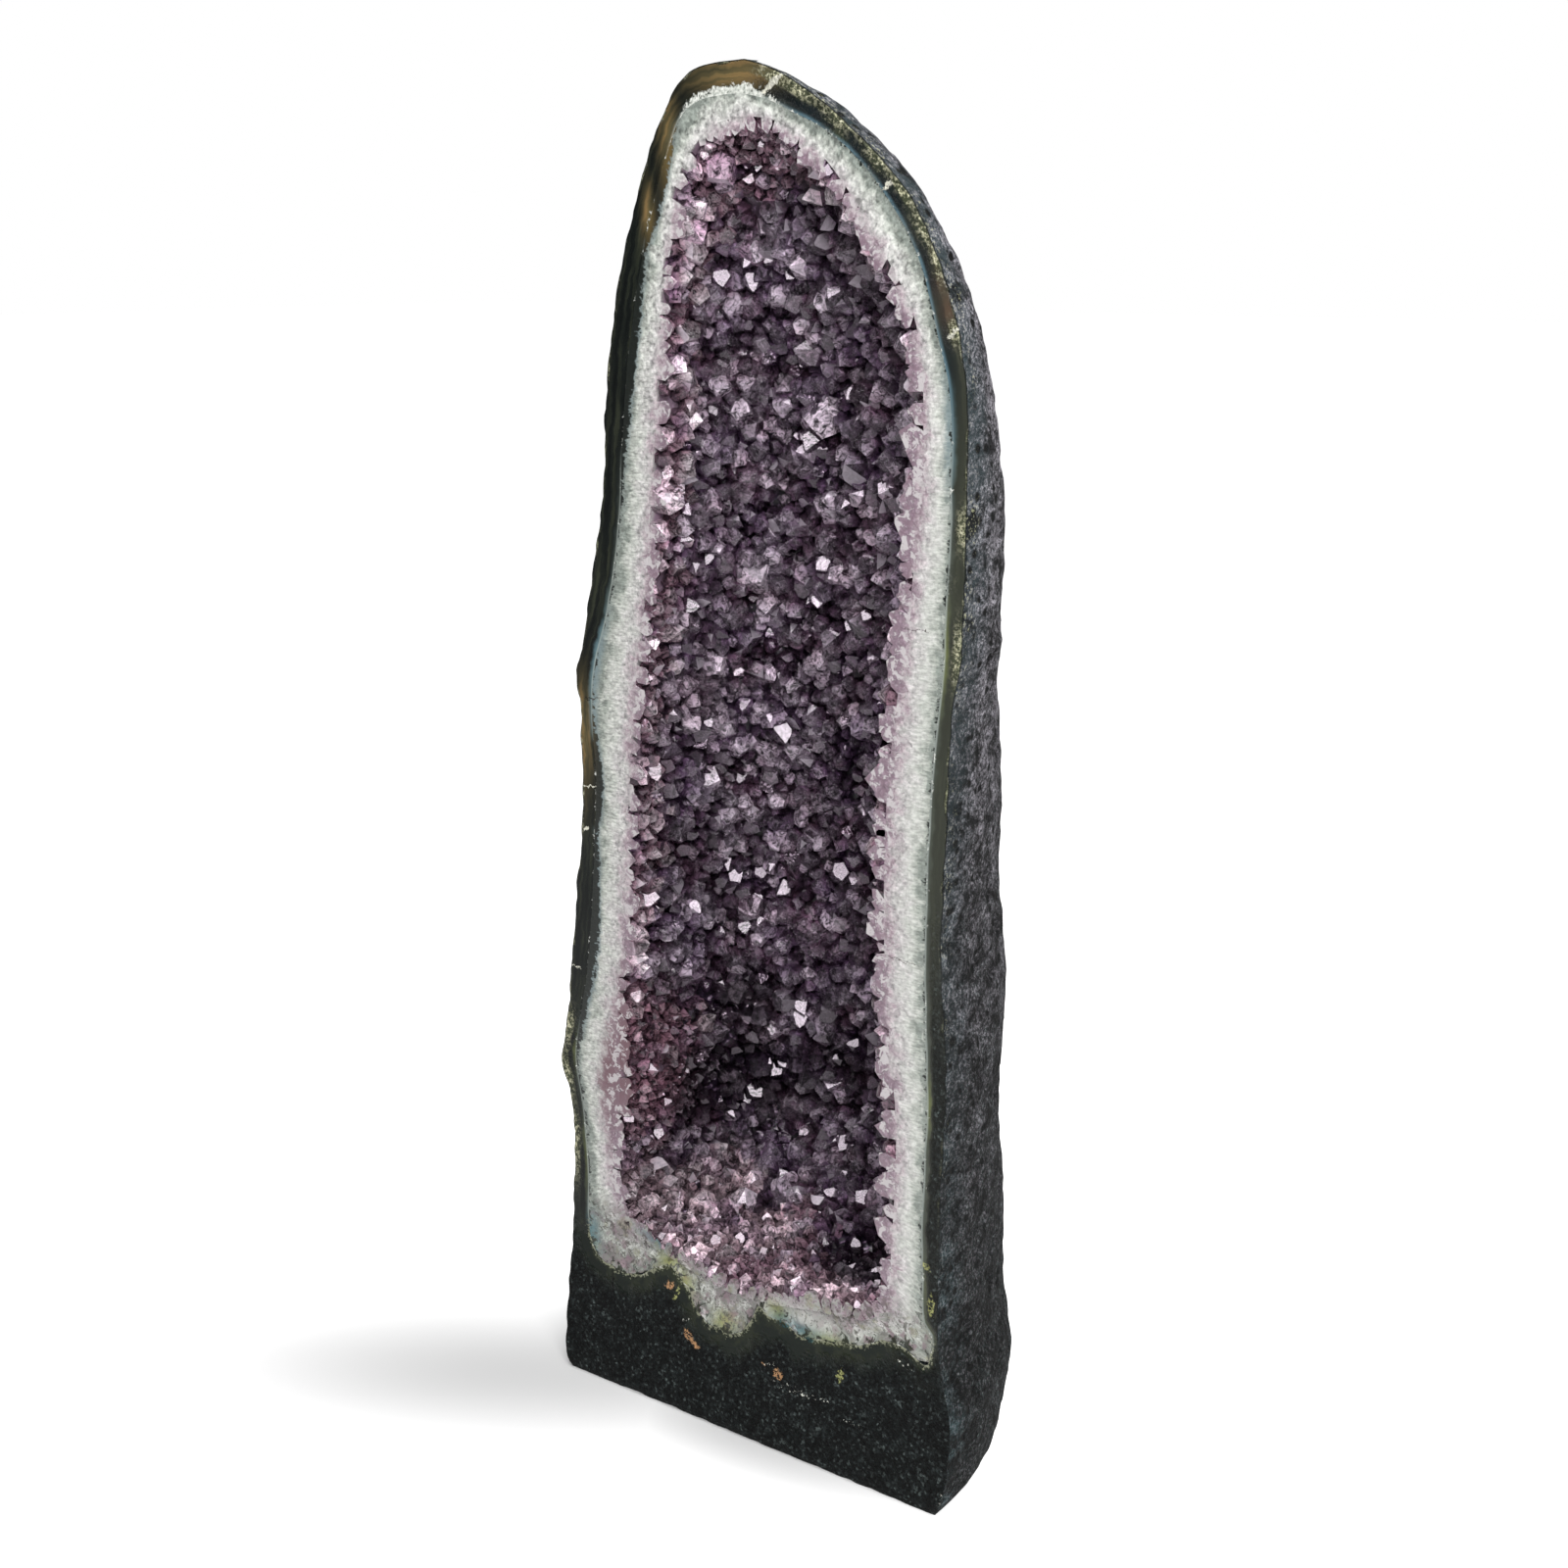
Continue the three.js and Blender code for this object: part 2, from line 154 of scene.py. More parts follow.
def smooth_along(table, heights):
    """The table's values at these heights, with its corners rounded and nothing past its own values."""
    known, values = np.array(table, float).T
    slopes = np.diff(values) / np.diff(known)
    before, after = slopes[:-1], slopes[1:]
    same_way = before * after > 0
    total = np.where(same_way, before + after, 1.0)
    inner = np.where(same_way, 2 * before * after / total, 0.0)
    tangents = np.concatenate([slopes[:1], inner, slopes[-1:]])
    i = np.clip(np.searchsorted(known, heights, "right") - 1, 0, len(known) - 2)
    width = known[i + 1] - known[i]
    t = np.clip((heights - known[i]) / width, 0, 1)
    return (
        (1 + 2 * t) * (1 - t) ** 2 * values[i]
        + t * (1 - t) ** 2 * width * tangents[i]
        + t * t * (3 - 2 * t) * values[i + 1]
        + t * t * (t - 1) * width * tangents[i + 1]
    )


def unit(vectors):
    return vectors / np.maximum(np.linalg.norm(vectors, axis=-1, keepdims=True), 1e-9)


def swell(points, swells):
    """How far each point is moved by a list of swellings."""
    total = np.zeros(points.shape[:-1])
    for x, y, z, wide, rise in swells:
        distance = np.linalg.norm(points - (x, y, z), axis=-1)
        total += rise * np.exp(-((distance / wide) ** 2))
    return total


# Random patterns are laid out askew to the axes, so that no rows of them show.
ASKEW = (0.7, 0.5, 0.9)
LUMP_TURN = np.array(Euler(ASKEW).to_matrix())


def lumps(points, wide, seed):
    """Smooth random lumps between about -1 and 1, this many millimetres from one to the next."""
    flat = points.reshape(-1, 3) @ LUMP_TURN / wide + seed
    return np.array([noise.noise(Vector(p)) for p in flat]).reshape(points.shape[:-1])


def relief_of(points, *grains):
    """Random relief: the sum of lumps that rise this far, are this far apart and have these seeds."""
    return sum(rise * lumps(points, wide, seed) for rise, wide, seed in grains)


def stood_up(flat, y):
    """Points from their offsets and heights, at this depth."""
    return np.stack([flat[..., 0], np.broadcast_to(y, flat.shape[:-1]), flat[..., 1]], -1)


# Cosine and sine that make the body's and the hollow's sections a little squarer than an ellipse.
def square_cos(turn):
    return np.maximum(np.cos(turn), 0) ** (2 / SECTION_POWER)


def square_sin(turn):
    return np.maximum(np.sin(turn), 0) ** (2 / SECTION_POWER)


def closed_curve(corners):
    """A smooth closed line through the corners, as many points in order."""
    p1 = np.array(corners, float)
    p0, p2, p3 = np.roll(p1, 1, 0), np.roll(p1, -1, 0), np.roll(p1, -2, 0)
    t = np.arange(LINE_SAMPLES)[None, :, None] / LINE_SAMPLES
    p0, p1, p2, p3 = (p[:, None, :] for p in (p0, p1, p2, p3))
    curve = p1 + 0.5 * t * (
        p2 - p0 + t * (2 * p0 - 5 * p1 + 4 * p2 - p3 + t * (3 * (p1 - p2) + p3 - p0))
    )
    return curve.reshape(-1, 2)


def hinge_of(rim):
    """The point on the hollow's middle line that each rim point turns about."""
    z = np.clip(rim[..., 1], FLOOR_HINGE, ROOF_HINGE)
    x = np.interp(z, (FLOOR_HINGE, ROOF_HINGE), HINGE_X)
    return np.stack([x, z], -1)


# Places round the rim are measured clockwise from below the left corner.
START_ANGLE = math.radians(235)
TURN_LENGTH = 100.0
STRAIGHT = ROOF_HINGE - FLOOR_HINGE
ROUND = 2 * math.pi * TURN_LENGTH + 2 * STRAIGHT


def place_round(points):
    """How far round the rim each point lies, in millimetres."""
    hinge = hinge_of(points)
    out = points - hinge
    clockwise = (START_ANGLE - np.arctan2(out[..., 1], out[..., 0])) % (2 * math.pi)
    on_left = clockwise < START_ANGLE - math.pi / 2
    climbed = hinge[..., 1] - FLOOR_HINGE
    return clockwise * TURN_LENGTH + np.where(on_left, climbed, 2 * STRAIGHT - climbed)


# The bowls have as many steps up the rim's left side as down its right one, so that their halves meet.
SIDE_STEPS, ARC_STEPS = 132, 100
ARC = math.pi * TURN_LENGTH
FIRST_PLACE = (START_ANGLE - math.pi) * TURN_LENGTH
side_places = np.linspace(0, STRAIGHT, SIDE_STEPS, endpoint=False)
arc_places = np.linspace(0, ARC, ARC_STEPS, endpoint=False)
half_round = np.concatenate([side_places, STRAIGHT + arc_places])
RIM_PLACES = FIRST_PLACE + np.concatenate([half_round, STRAIGHT + ARC + half_round])


def facing(curve, places):
    """The points of a closed curve that lie on the same rays from the middle line as the given places."""
    there = place_round(curve)
    found = np.stack([np.interp(places, there, curve[:, i], period=ROUND) for i in (0, 1)], -1)
    along = (places - FIRST_PLACE) % ROUND
    turns = (0, STRAIGHT, STRAIGHT + ARC, 2 * STRAIGHT + ARC, ROUND)
    climbed = np.interp(along, turns, (0, STRAIGHT, STRAIGHT, 0, 0))
    beside = (climbed > 0) & (climbed < STRAIGHT)
    found[beside, 1] = FLOOR_HINGE + climbed[beside]
    above, below = climbed >= STRAIGHT, climbed <= 0
    found[above, 1] = np.maximum(found[above, 1], ROOF_HINGE)
    found[below, 1] = np.minimum(found[below, 1], FLOOR_HINGE)
    return found


def agate_line():
    """The line where the agate meets the quartz, made a little uneven."""
    line = closed_curve(AGATE_LINE)
    hinge = hinge_of(line)
    out = unit(line - hinge)
    here = stood_up(line, 0)
    broken = np.clip((112 - line[:, 1]) / 10, 0, 1)
    shift = relief_of(here, (0.7, 16, 7.7)) + broken * relief_of(here, (2.2, 6, 9.1), (2.6, 13, 5.5))
    return line + out * shift[:, None]


def wall_points(rim, turns, depth_share, inset):
    """A bowl behind a rim line: a ring for each turn, from 0 at the face to a quarter where it is deepest."""
    hinge = hinge_of(rim)
    out = rim - hinge
    length = np.linalg.norm(out, axis=-1, keepdims=True)
    out = out * (length - inset) / length
    rings = []
    for turn in turns:
        flat = hinge + out * square_cos(turn)
        depth = depth_share * smooth_along(BODY_DEPTH, flat[:, 1]) - inset
        rings.append(stood_up(flat, FACE_Y + depth * square_sin(turn)))
    return np.array(rings)


def grid_normals(grid):
    """Unit normals of a grid of points that is closed along its second axis."""
    across = np.roll(grid, -1, 1) - np.roll(grid, 1, 1)
    return unit(np.cross(across, np.gradient(grid, axis=0)))


def into_hollow(grid):
    """Unit normals of a bowl's grid that point into the hollow."""
    normals = grid_normals(grid)
    middle = stood_up(hinge_of(grid[..., (0, 2)]), FACE_Y)
    side = np.sign(np.sum(normals * (middle - grid), -1, keepdims=True))
    return normals * np.where(side == 0, 1, side)


def distance_to(line, points):
    """How far flat points are from a closed line."""
    start, end = line, np.roll(line, -1, 0)
    along = end - start
    length2 = np.maximum(np.sum(along**2, -1), 1e-9)
    least = np.full(len(points), np.inf)
    for chunk in np.array_split(np.arange(len(points)), max(len(points) // 2000, 1)):
        offset = points[chunk, None] - start[None]
        share = np.clip(np.sum(offset * along, -1) / length2, 0, 1)
        gap = np.linalg.norm(offset - share[..., None] * along, axis=-1)
        least[chunk] = gap.min(1)
    return least


def quads(rows, columns, closed):
    """Faces of a grid whose points are numbered row by row."""
    faces = []
    for i in range(rows - 1):
        for j in range(columns if closed else columns - 1):
            k = (j + 1) % columns
            faces.append((i * columns + j, i * columns + k, (i + 1) * columns + k, (i + 1) * columns + j))
    return faces


def give(mesh, values):
    """Gives the mesh's points their named values."""
    for key, value in values.items():
        mesh.attributes.new(key, "FLOAT", "POINT").data.foreach_set("value", np.asarray(value, np.float32))


def points_of(mesh):
    """The mesh's points in millimetres."""
    places = np.empty(len(mesh.vertices) * 3, np.float32)
    mesh.vertices.foreach_get("co", places)
    return places.reshape(-1, 3) / MM


def in_scene(name, data):
    """A new object in the scene with this mesh, light or camera."""
    thing = bpy.data.objects.new(name, data)
    bpy.context.scene.collection.objects.link(thing)
    return thing


def make_mesh(name, points, faces, attributes=None):
    """A mesh object at the origin from points in millimetres. Doubles are merged, and its faces point out."""
    mesh = bpy.data.meshes.new(name)
    mesh.from_pydata((points * MM).tolist(), [], faces)
    give(mesh, attributes or {})
    work = bmesh.new()
    work.from_mesh(mesh)
    bmesh.ops.remove_doubles(work, verts=work.verts, dist=1e-5)
    bmesh.ops.dissolve_degenerate(work, edges=work.edges, dist=1e-6)
    bmesh.ops.recalc_face_normals(work, faces=work.faces)
    if work.calc_volume(signed=True) < 0:
        bmesh.ops.reverse_faces(work, faces=work.faces)
    work.to_mesh(mesh)
    work.free()
    return in_scene(name, mesh)


OUTER_LINE = agate_line()
INNER_LINE = closed_curve(HOLLOW_LINE)


# The outline of the face, in rows that are evenly spaced along its steeper edge.
fine = np.linspace(0, HEIGHT, 4001)
steps = [np.hypot(np.diff(fine), np.diff(smooth_along(edge, fine))) for edge in (LEFT_EDGE, RIGHT_EDGE)]
walked = np.concatenate([[0], np.cumsum(np.maximum(*steps))])
ROW_HEIGHTS = np.interp(np.linspace(0, walked[-1], BODY_ROWS + 1), walked, fine)


def worn_edge(table, side):
    """The face's edge at every row, nibbled by small chips."""
    offset = smooth_along(table, ROW_HEIGHTS)
    wear = BASE_WEAR * np.clip(1 - ROW_HEIGHTS / WEAR_HEIGHT, 0, 1) ** 2
    here = stood_up(np.stack([offset, ROW_HEIGHTS], -1), 0)
    nibbles = relief_of(here, (0.9, 13, 3.1), (0.6, 5.5, 8.4))
    return offset - side * (wear + EDGE_CHIPPED + nibbles)


def rough_body():
    """The outside as a grid of points: rows up, columns from the face's right edge round to its left one."""
    heights = ROW_HEIGHTS[:, None]
    left, right = worn_edge(LEFT_EDGE, -1)[:, None], worn_edge(RIGHT_EDGE, 1)[:, None]
    turn = np.linspace(0, math.pi, BODY_COLUMNS + 1)[None, :]
    side = np.where(turn > math.pi / 2, -1.0, 1.0)
    quarter = np.where(side > 0, turn, math.pi - turn)
    wear = BASE_WEAR * np.clip(1 - heights / WEAR_HEIGHT, 0, 1) ** 2
    depth = smooth_along(BODY_DEPTH, ROW_HEIGHTS)[:, None] - wear
    x = (left + right) / 2 + side * (right - left) / 2 * square_cos(quarter)
    y = FACE_Y + depth * square_sin(quarter)
    z = np.broadcast_to(heights, x.shape)
    points = np.stack([x, y, z], -1)
    waves = np.sin(x / 23 + z / 41) * np.sin(z / 47 - x / 31 + 1)
    waves += np.sin(y / 17 + z / 53 + 2) * np.sin(z / 29 + x / 37)
    inland = np.sqrt(np.maximum(np.sin(turn), 0))
    rise = inland * (LUMP_RISE * waves + swell(points, BODY_SWELLS)) * np.minimum(heights / 40, 1)
    points[..., 0] += side * rise * np.cos(quarter)
    points[..., 1] += rise * np.sin(quarter)
    return points


def grained(points):
    """The outside's coarse grain: lumps and pits that fade out at the sawn edge."""
    normals = unit(np.cross(np.gradient(points, axis=1), np.gradient(points, axis=0)))
    middle = np.array([0, FACE_Y, 0]) + points * (0, 0, 1)
    normals *= np.sign(np.sum(normals * (points - middle), -1, keepdims=True) + 1e-9)
    relief = relief_of(points, (0.9, 19, 1.7), (0.7, 8.5, 5.2))
    pits = np.clip(lumps(points, 11, 21.5) - 0.28, 0, 1)
    relief -= PIT_DEPTH * pits
    behind = np.clip((points[..., 1] - FACE_Y) / GRAIN_FULL, 0, 1)
    above = np.clip(points[..., 2] / 8, 0, 1)
    return points + normals * (relief * behind * above)[..., None]


def keep_inside(points, node):
    """Points held inside the box of the solid that they stand for."""
    low, high = (np.array(corner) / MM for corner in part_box(node))
    return np.clip(points, low + 0.02, high - 0.02)


# Soft patches on the face: offset, height, width along x and z. Each list is one look.
SOFT_PATCHES = {
    "golden": [(-3, 793, 32, 7), (-47, 758, 6, 26), (-119, 426, 7, 32), (17, 793, 9, 5), (-62, 722, 4, 14)],
    "rusty": [(126, 692, 7, 13), (134, 674, 6, 12)],
    "bluish": [
        (-106, 455, 10, 60), (-112, 330, 8, 60), (134, 615, 6, 28), (-66, 112, 9, 8), (-123, 100, 7, 14),
        (44, 87, 18, 4), (27, 91, 7, 5), (-120, 262, 7, 30),
    ],
    "agated": [(-116, 300, 22, 75), (-112, 395, 16, 30), (-84, 660, 26, 75), (-60, 735, 20, 30)],
    "inky": [(48, 771, 16, 12), (74, 752, 14, 16), (98, 726, 14, 22), (118, 690, 12, 30), (132, 640, 10, 40)],
    "warm": [(-108, 218, 18, 40)],
    "milky": [(42, 96, 26, 10)],
    "snowy": [(-6, 786, 40, 12)],
    "mossy": [
        (-58, 100, 10, 5), (-47, 88, 7, 9), (-16, 74, 8, 6), (66, 85, 13, 5), (24, 95, 6, 5), (67, 757, 6, 8),
        (-138, 222, 9, 14), (-130, 152, 8, 20), (132, 250, 6, 16), (136, 500, 5, 26), (136, 140, 6, 20),
    ],
    "creamy": [
        (22, 790, 8, 5), (44, 784, 16, 7), (66, 768, 13, 8), (88, 750, 12, 9), (106, 733, 10, 9),
        (119, 714, 8, 8), (126, 700, 5, 10), (-137, 236, 6, 10), (137, 664, 4, 5), (146, 566, 5, 8),
        (143, 500, 3, 14), (134, 540, 4, 6), (-139, 205, 5, 14), (-134, 160, 4, 18),
    ],
}


def patches(points, places):
    """How strongly each point lies in the listed patches, from 0 to 1."""
    most = np.zeros(len(points))
    for x, z, wide, high in places:
        far = ((points[:, 0] - x) / wide) ** 2 + ((points[:, 2] - z) / high) ** 2
        most = np.maximum(most, np.exp(-far))
    return most


def face_masks(points, on_face, outline=None):
    """What the sawn face's materials read: millimetres from its lines, and the patches."""
    flat = points[on_face][:, (0, 2)]
    band = distance_to(OUTER_LINE, flat)
    masks = {name: np.zeros(len(points)) for name in ("band", "share", "rim", "along_rim")}
    masks["polished"] = on_face.astype(float)
    masks["along_rim"][on_face] = place_round(flat)
    if outline is None:
        inner = distance_to(INNER_LINE, flat)
        hinge = hinge_of(flat)
        here = np.linalg.norm(flat - hinge, axis=-1)
        edge = np.linalg.norm(facing(INNER_LINE, place_round(flat)) - hinge, axis=-1)
        share = np.where(here < edge, 1 + inner / 20, band / np.maximum(band + inner, 0.1))
        masks["band"][on_face] = band
        masks["share"][on_face] = share
        masks["rim"][on_face] = 60
    else:
        masks["band"][:] = -60
        masks["band"][on_face] = -band
        masks["rim"][on_face] = distance_to(outline, flat)
    for name, places in SOFT_PATCHES.items():
        masks[name] = patches(points, places) * on_face
    return masks


def rock_piece():
    """The rock and its agate in one closed mesh: the rough outside, the sawn face and the lined bowl."""
    body = grained(rough_body())
    left_edge = body[:, -1]
    right_edge = body[:, 0]
    foot_x = np.linspace(right_edge[0, 0], left_edge[0, 0], FOOT_COLUMNS + 2)[1:-1]
    foot_edge = stood_up(np.stack([foot_x, np.zeros_like(foot_x)], -1), FACE_Y)
    outline = np.concatenate([left_edge, right_edge[::-1], foot_edge])
    flat = outline[:, (0, 2)]
    inner = facing(OUTER_LINE, place_round(flat))

    # Rings from the outline in to the agate's inner line, then down the bowl to its deepest line.
    shares = np.linspace(0, 1, FACE_STEPS + 1)[:, None, None] ** 1.25
    across = flat[None] * (1 - shares) + inner[None] * shares
    face = stood_up(across, FACE_Y)
    recess = face_recess(face)
    face[..., 1] += recess
    turns = np.linspace(0, math.pi / 2, BOWL_STEPS + 1)[1:]
    bowl = wall_points(inner, turns, LINED_DEPTH, 0)
    rings = np.concatenate([face, bowl])
    count = len(outline)

    body[:, -1, 1] = FACE_Y + recess[0, : BODY_ROWS + 1]
    body[:, 0, 1] = FACE_Y + recess[0, BODY_ROWS + 1 : 2 * BODY_ROWS + 2][::-1]
    columns = BODY_COLUMNS + 1
    points = np.concatenate([body.reshape(-1, 3), rings.reshape(-1, 3)])
    first = len(body.reshape(-1, 3))
    faces = quads(BODY_ROWS + 1, columns, False)
    faces += [tuple(first + i for i in face) for face in quads(len(rings), count, True)]
    top = [BODY_ROWS * columns + j for j in range(columns)]
    foot = list(range(columns)) + [first + 2 * BODY_ROWS + 2 + i for i in range(FOOT_COLUMNS)][::-1]
    faces += [tuple(top), tuple(foot)]

    points = keep_inside(points, "geode_rock")
    on_face = np.zeros(len(points), bool)
    on_face[first : first + face.shape[0] * count] = True
    return make_mesh("geode_rock_with_agate", points, faces, face_masks(points, on_face, flat))


def face_recess(face):
    """How far the sawn face lies behind its plane: chipped at the rind, and grainy on the foot."""
    chips = np.clip(lumps(face, 9, 2.2) + 0.35, 0, 1) * CHIP_DEPTH
    outer = np.clip(1 - np.arange(len(face))[:, None] / 3, 0, 1)
    foot = np.clip((GRAINY_TOP - face[..., 2]) / 12, 0, 1)
    grain = 0.5 + 0.45 * lumps(face, 7, 6.6)
    worn = FACE_WEAR * np.clip(1 - face[..., 2] / FACE_WEAR_HEIGHT, 0, 1) ** 2
    return np.maximum(chips * outer, grain * foot) + worn


def crystal_wall(inset, steps):
    """The hollow's wall as rings from its rim in to its deepest line, with its swellings."""
    rim = facing(INNER_LINE, RIM_PLACES)
    turns = np.linspace(0, math.pi / 2, steps + 1)
    plain = wall_points(rim, turns, OPEN_DEPTH, inset)
    moved = plain + into_hollow(plain) * swell(plain, WALL_SWELLS)[..., None]
    moved[0, :, 1] = FACE_Y
    moved[-1] = plain[-1]
    return moved


def quartz_bed():
    """White and lilac quartz between the agate and the crystals' roots, as one closed ring and bowl."""
    outer_rim = facing(OUTER_LINE, RIM_PLACES)
    wall = crystal_wall(-BED_BELOW, WALL_STEPS)
    roughness = 0.8 * lumps(wall, 6, 4.4) * np.clip((wall[..., 1] - FACE_Y) / 6, 0, 1)
    wall[:-1] += (into_hollow(wall) * roughness[..., None])[:-1]
    turns = np.linspace(0, math.pi / 2, BOWL_STEPS + 1)
    bowl = wall_points(outer_rim, turns[::-1], LINED_DEPTH, 0)
    shares = np.linspace(0, 1, QUARTZ_STEPS + 1)[1:-1, None, None]
    rim = wall[0][:, (0, 2)]
    across = outer_rim[None] * (1 - shares) + rim[None] * shares
    face = stood_up(across, FACE_Y)
    rings = np.concatenate([bowl, face, wall])
    points = rings.reshape(-1, 3)
    faces = quads(len(rings), len(RIM_PLACES), True)

    on_face = np.abs(points[:, 1] - FACE_Y) < 0.01
    masks = face_masks(points, on_face)
    broken = np.clip((BROKEN_TOP - points[:, 2]) / 22, 0, 1) * np.clip(masks["band"] / 3, 0, 1) * on_face
    points[:, 1] += broken * (2.2 + 2.2 * lumps(points, 13, 3.3) + 1.3 * lumps(points, 5, 8.8))
    return make_mesh("quartz_bed", points, faces, masks)


# Crystals nearer the face than this are milky, and those near the hollow's rim are finer.
MILKY_DEPTH = 26.0
FINE_RIM = 9.0
# The middle of the hollow's opening, which the wall's faces look to.
HOLLOW_MIDDLE = Vector((12, FACE_Y, 420)) * MM
# Where the crystals differ, and how far round it: here they are fine, here painted shade makes them nearly
# black in the pits, here whitish, and here rosy brown.
FINE_PLACES = [(-98, -60, 205, 62), (-20, -70, 108, 70), (60, -70, 112, 60), (0, -60, 770, 50)]
PAINTED_SHADE_PLACES = [
    (-80, -24, 196, 34), (-70, 6, 192, 34), (-45, 4, 186, 34), (56, -32, 116, 28), (-60, -5, 250, 24),
    (-5, 10, 215, 26),
]
PALE_PLACES = [
    (-97, -76, 128, 30), (-86, -62, 116, 32), (-74, -44, 114, 30), (-44, -64, 106, 28), (-72, -16, 126, 26),
    (-22, -36, 112, 24), (20, -74, 100, 22), (58, -70, 106, 24),
]
WARM_PLACES = [(-92, -72, 226, 46), (-86, -50, 200, 30)]


def near_places(points, places):
    """How near each point is to the places, from 0 to 1."""
    most = np.zeros(len(points))
    for x, y, z, wide in places:
        distance = np.linalg.norm(points - (x, y, z), axis=-1)
        most = np.maximum(most, np.exp(-((distance / wide) ** 4)))
    return most


def scatter_wall():
    """The wall that the crystals' feet stand on, run past the face, with how fine the crystals are on it."""
    wall = crystal_wall(0, WALL_STEPS)
    spare = wall[:1] - (0, SAW_SPARE, 0)
    half = wall[:1] - (0, SAW_SPARE / 2, 0)
    rings = np.concatenate([spare, half, wall])
    points = rings.reshape(-1, 3)
    near_rim = np.exp(-(np.maximum(points[:, 1] - FACE_Y, 0) / FINE_RIM) ** 2)
    fine_share = np.maximum(near_places(points, FINE_PLACES), 0.55 * near_rim)
    piece = make_mesh("wall", points, quads(len(rings), len(RIM_PLACES), True), {"fineness": fine_share})
    middle_faces = [p for p in piece.data.polygons if 0.3 < p.center.z < 0.5]
    inwards = sum(1 if p.normal.dot(HOLLOW_MIDDLE - p.center) > 0 else -1 for p in middle_faces)
    if inwards < 0:
        piece.data.flip_normals()
    return piece


def hollow_room():
    """The open hollow as a closed solid, which trims the crystals at the sawn face and under their feet."""
    wall = crystal_wall(-TRIM_BELOW, 9)[:, ::4]
    wall[0, :, 1] += SAWN_BEHIND
    points = wall.reshape(-1, 3)
    faces = quads(len(wall), wall.shape[1], True) + [tuple(range(wall.shape[1]))]
    return make_mesh("room", points, faces)


# Quartz ends in six faces, each 38 degrees off the long axis, three of them mostly larger than the others.
PYRAMID_TILT = math.radians(51.8)
PATTERNS = 14


def quartz_point(index, random, rosiness=0.0, paleness=None):
    """One crystal of unit radius with its shoulder at the origin and its tip up."""
    work = bmesh.new()
    bmesh.ops.create_cube(work, size=8)

    def cut(normal, far):
        normal = Vector(normal)
        parts = work.verts[:] + work.edges[:] + work.faces[:]
        cut_off = bmesh.ops.bisect_plane(
            work, geom=parts, plane_co=normal * far, plane_no=normal, clear_outer=True
        )
        rim = [part for part in cut_off["geom_cut"] if isinstance(part, bmesh.types.BMEdge)]
        if rim:
            bmesh.ops.holes_fill(work, edges=rim)

    for i in range(6):
        angle = math.radians(60 * i)
        cut((math.cos(angle), math.sin(angle), 0), random.uniform(0.82, 1.12))
    level = math.sin(PYRAMID_TILT)
    for i in range(6):
        angle = math.radians(60 * i)
        extra = random.uniform(0.08, 0.6) if i % 2 else random.uniform(0, 0.12)
        cut((level * math.cos(angle), level * math.sin(angle), math.cos(PYRAMID_TILT)), level * (1 + extra))
    cut((0, 0, -1), 2.2)
    tint, facet, rosy = (work.faces.layers.float.new(name) for name in ("tint", "facet", "rosy"))
    whole = random.uniform(0, 0.9) if paleness is None else paleness
    for face in work.faces:
        face[tint] = whole
        face[facet] = random.uniform(0, 1)
        face[rosy] = rosiness
    bmesh.ops.triangulate(work, faces=work.faces)
    mesh = bpy.data.meshes.new(f"quartz_point_{index}")
    work.to_mesh(mesh)
    work.free()
    return bpy.data.objects.new(mesh.name, mesh)


# Crystals that stand out: where they grow, their radius, how rosy they are, and how pale.
STANDING_OUT = [
    (13, -20, 613, 11, 0.1, 1.0), (-18, -47, 706, 9.5, 1.0, 0.7), (-34, -26, 522, 10, 0.3, 0.9),
    (-24, -68, 748, 10, 1.0, 0.8), (10, -39, 697, 8.5, 0.2, 1.0), (-45, -57, 670, 8.5, 0.6, 0.7),
    (-44, -71, 714, 9, 1.0, 0.7), (-60, -33, 467, 8, 0.1, 0.9), (-68, -5, 253, 8.5, 0.3, 0.9),
    (-24, -40, 674, 7.5, 0.8, 0.6), (-72, -45, 432, 8, 0.2, 0.9), (-50, -20, 117, 8.5, 0.2, 0.9),
]


def wall_feet(wall):
    """The wall as a tree of faces in which the nearest place on it can be looked up."""
    mesh = wall.data
    return BVHTree.FromPolygons([v.co[:] for v in mesh.vertices], [p.vertices[:] for p in mesh.polygons])


def standing_out(feet, random, lowest, highest):
    """The crystals between these heights that stand out, each in its place on the wall."""
    group = bpy.data.collections.new("crystals_standing_out")
    for index, (x, y, z, radius, rosiness, paleness) in enumerate(STANDING_OUT):
        if not lowest <= z * MM < highest:
            continue
        crystal = quartz_point(PATTERNS + index, random, rosiness, paleness)
        foot, normal, _, _ = feet.find_nearest(Vector((x, y, z)) * MM)
        lean = Euler(random.uniform(-0.35, 0.35, 3)).to_matrix().to_4x4()
        upright = normal.to_track_quat("Z", "Y").to_matrix().to_4x4()
        crystal.data.transform(
            Matrix.Translation(foot + normal * 2.5 * MM) @ lean @ upright @ Matrix.Scale(radius * MM, 4))
        group.objects.link(crystal)
    return group


def linear(text):
    """An sRGB hex colour as linear red, green, blue and alpha."""
    parts = [int(text[i : i + 2], 16) / 255 for i in (1, 3, 5)]
    return tuple(c / 12.92 if c <= 0.04045 else ((c + 0.055) / 1.055) ** 2.4 for c in parts) + (1.0,)


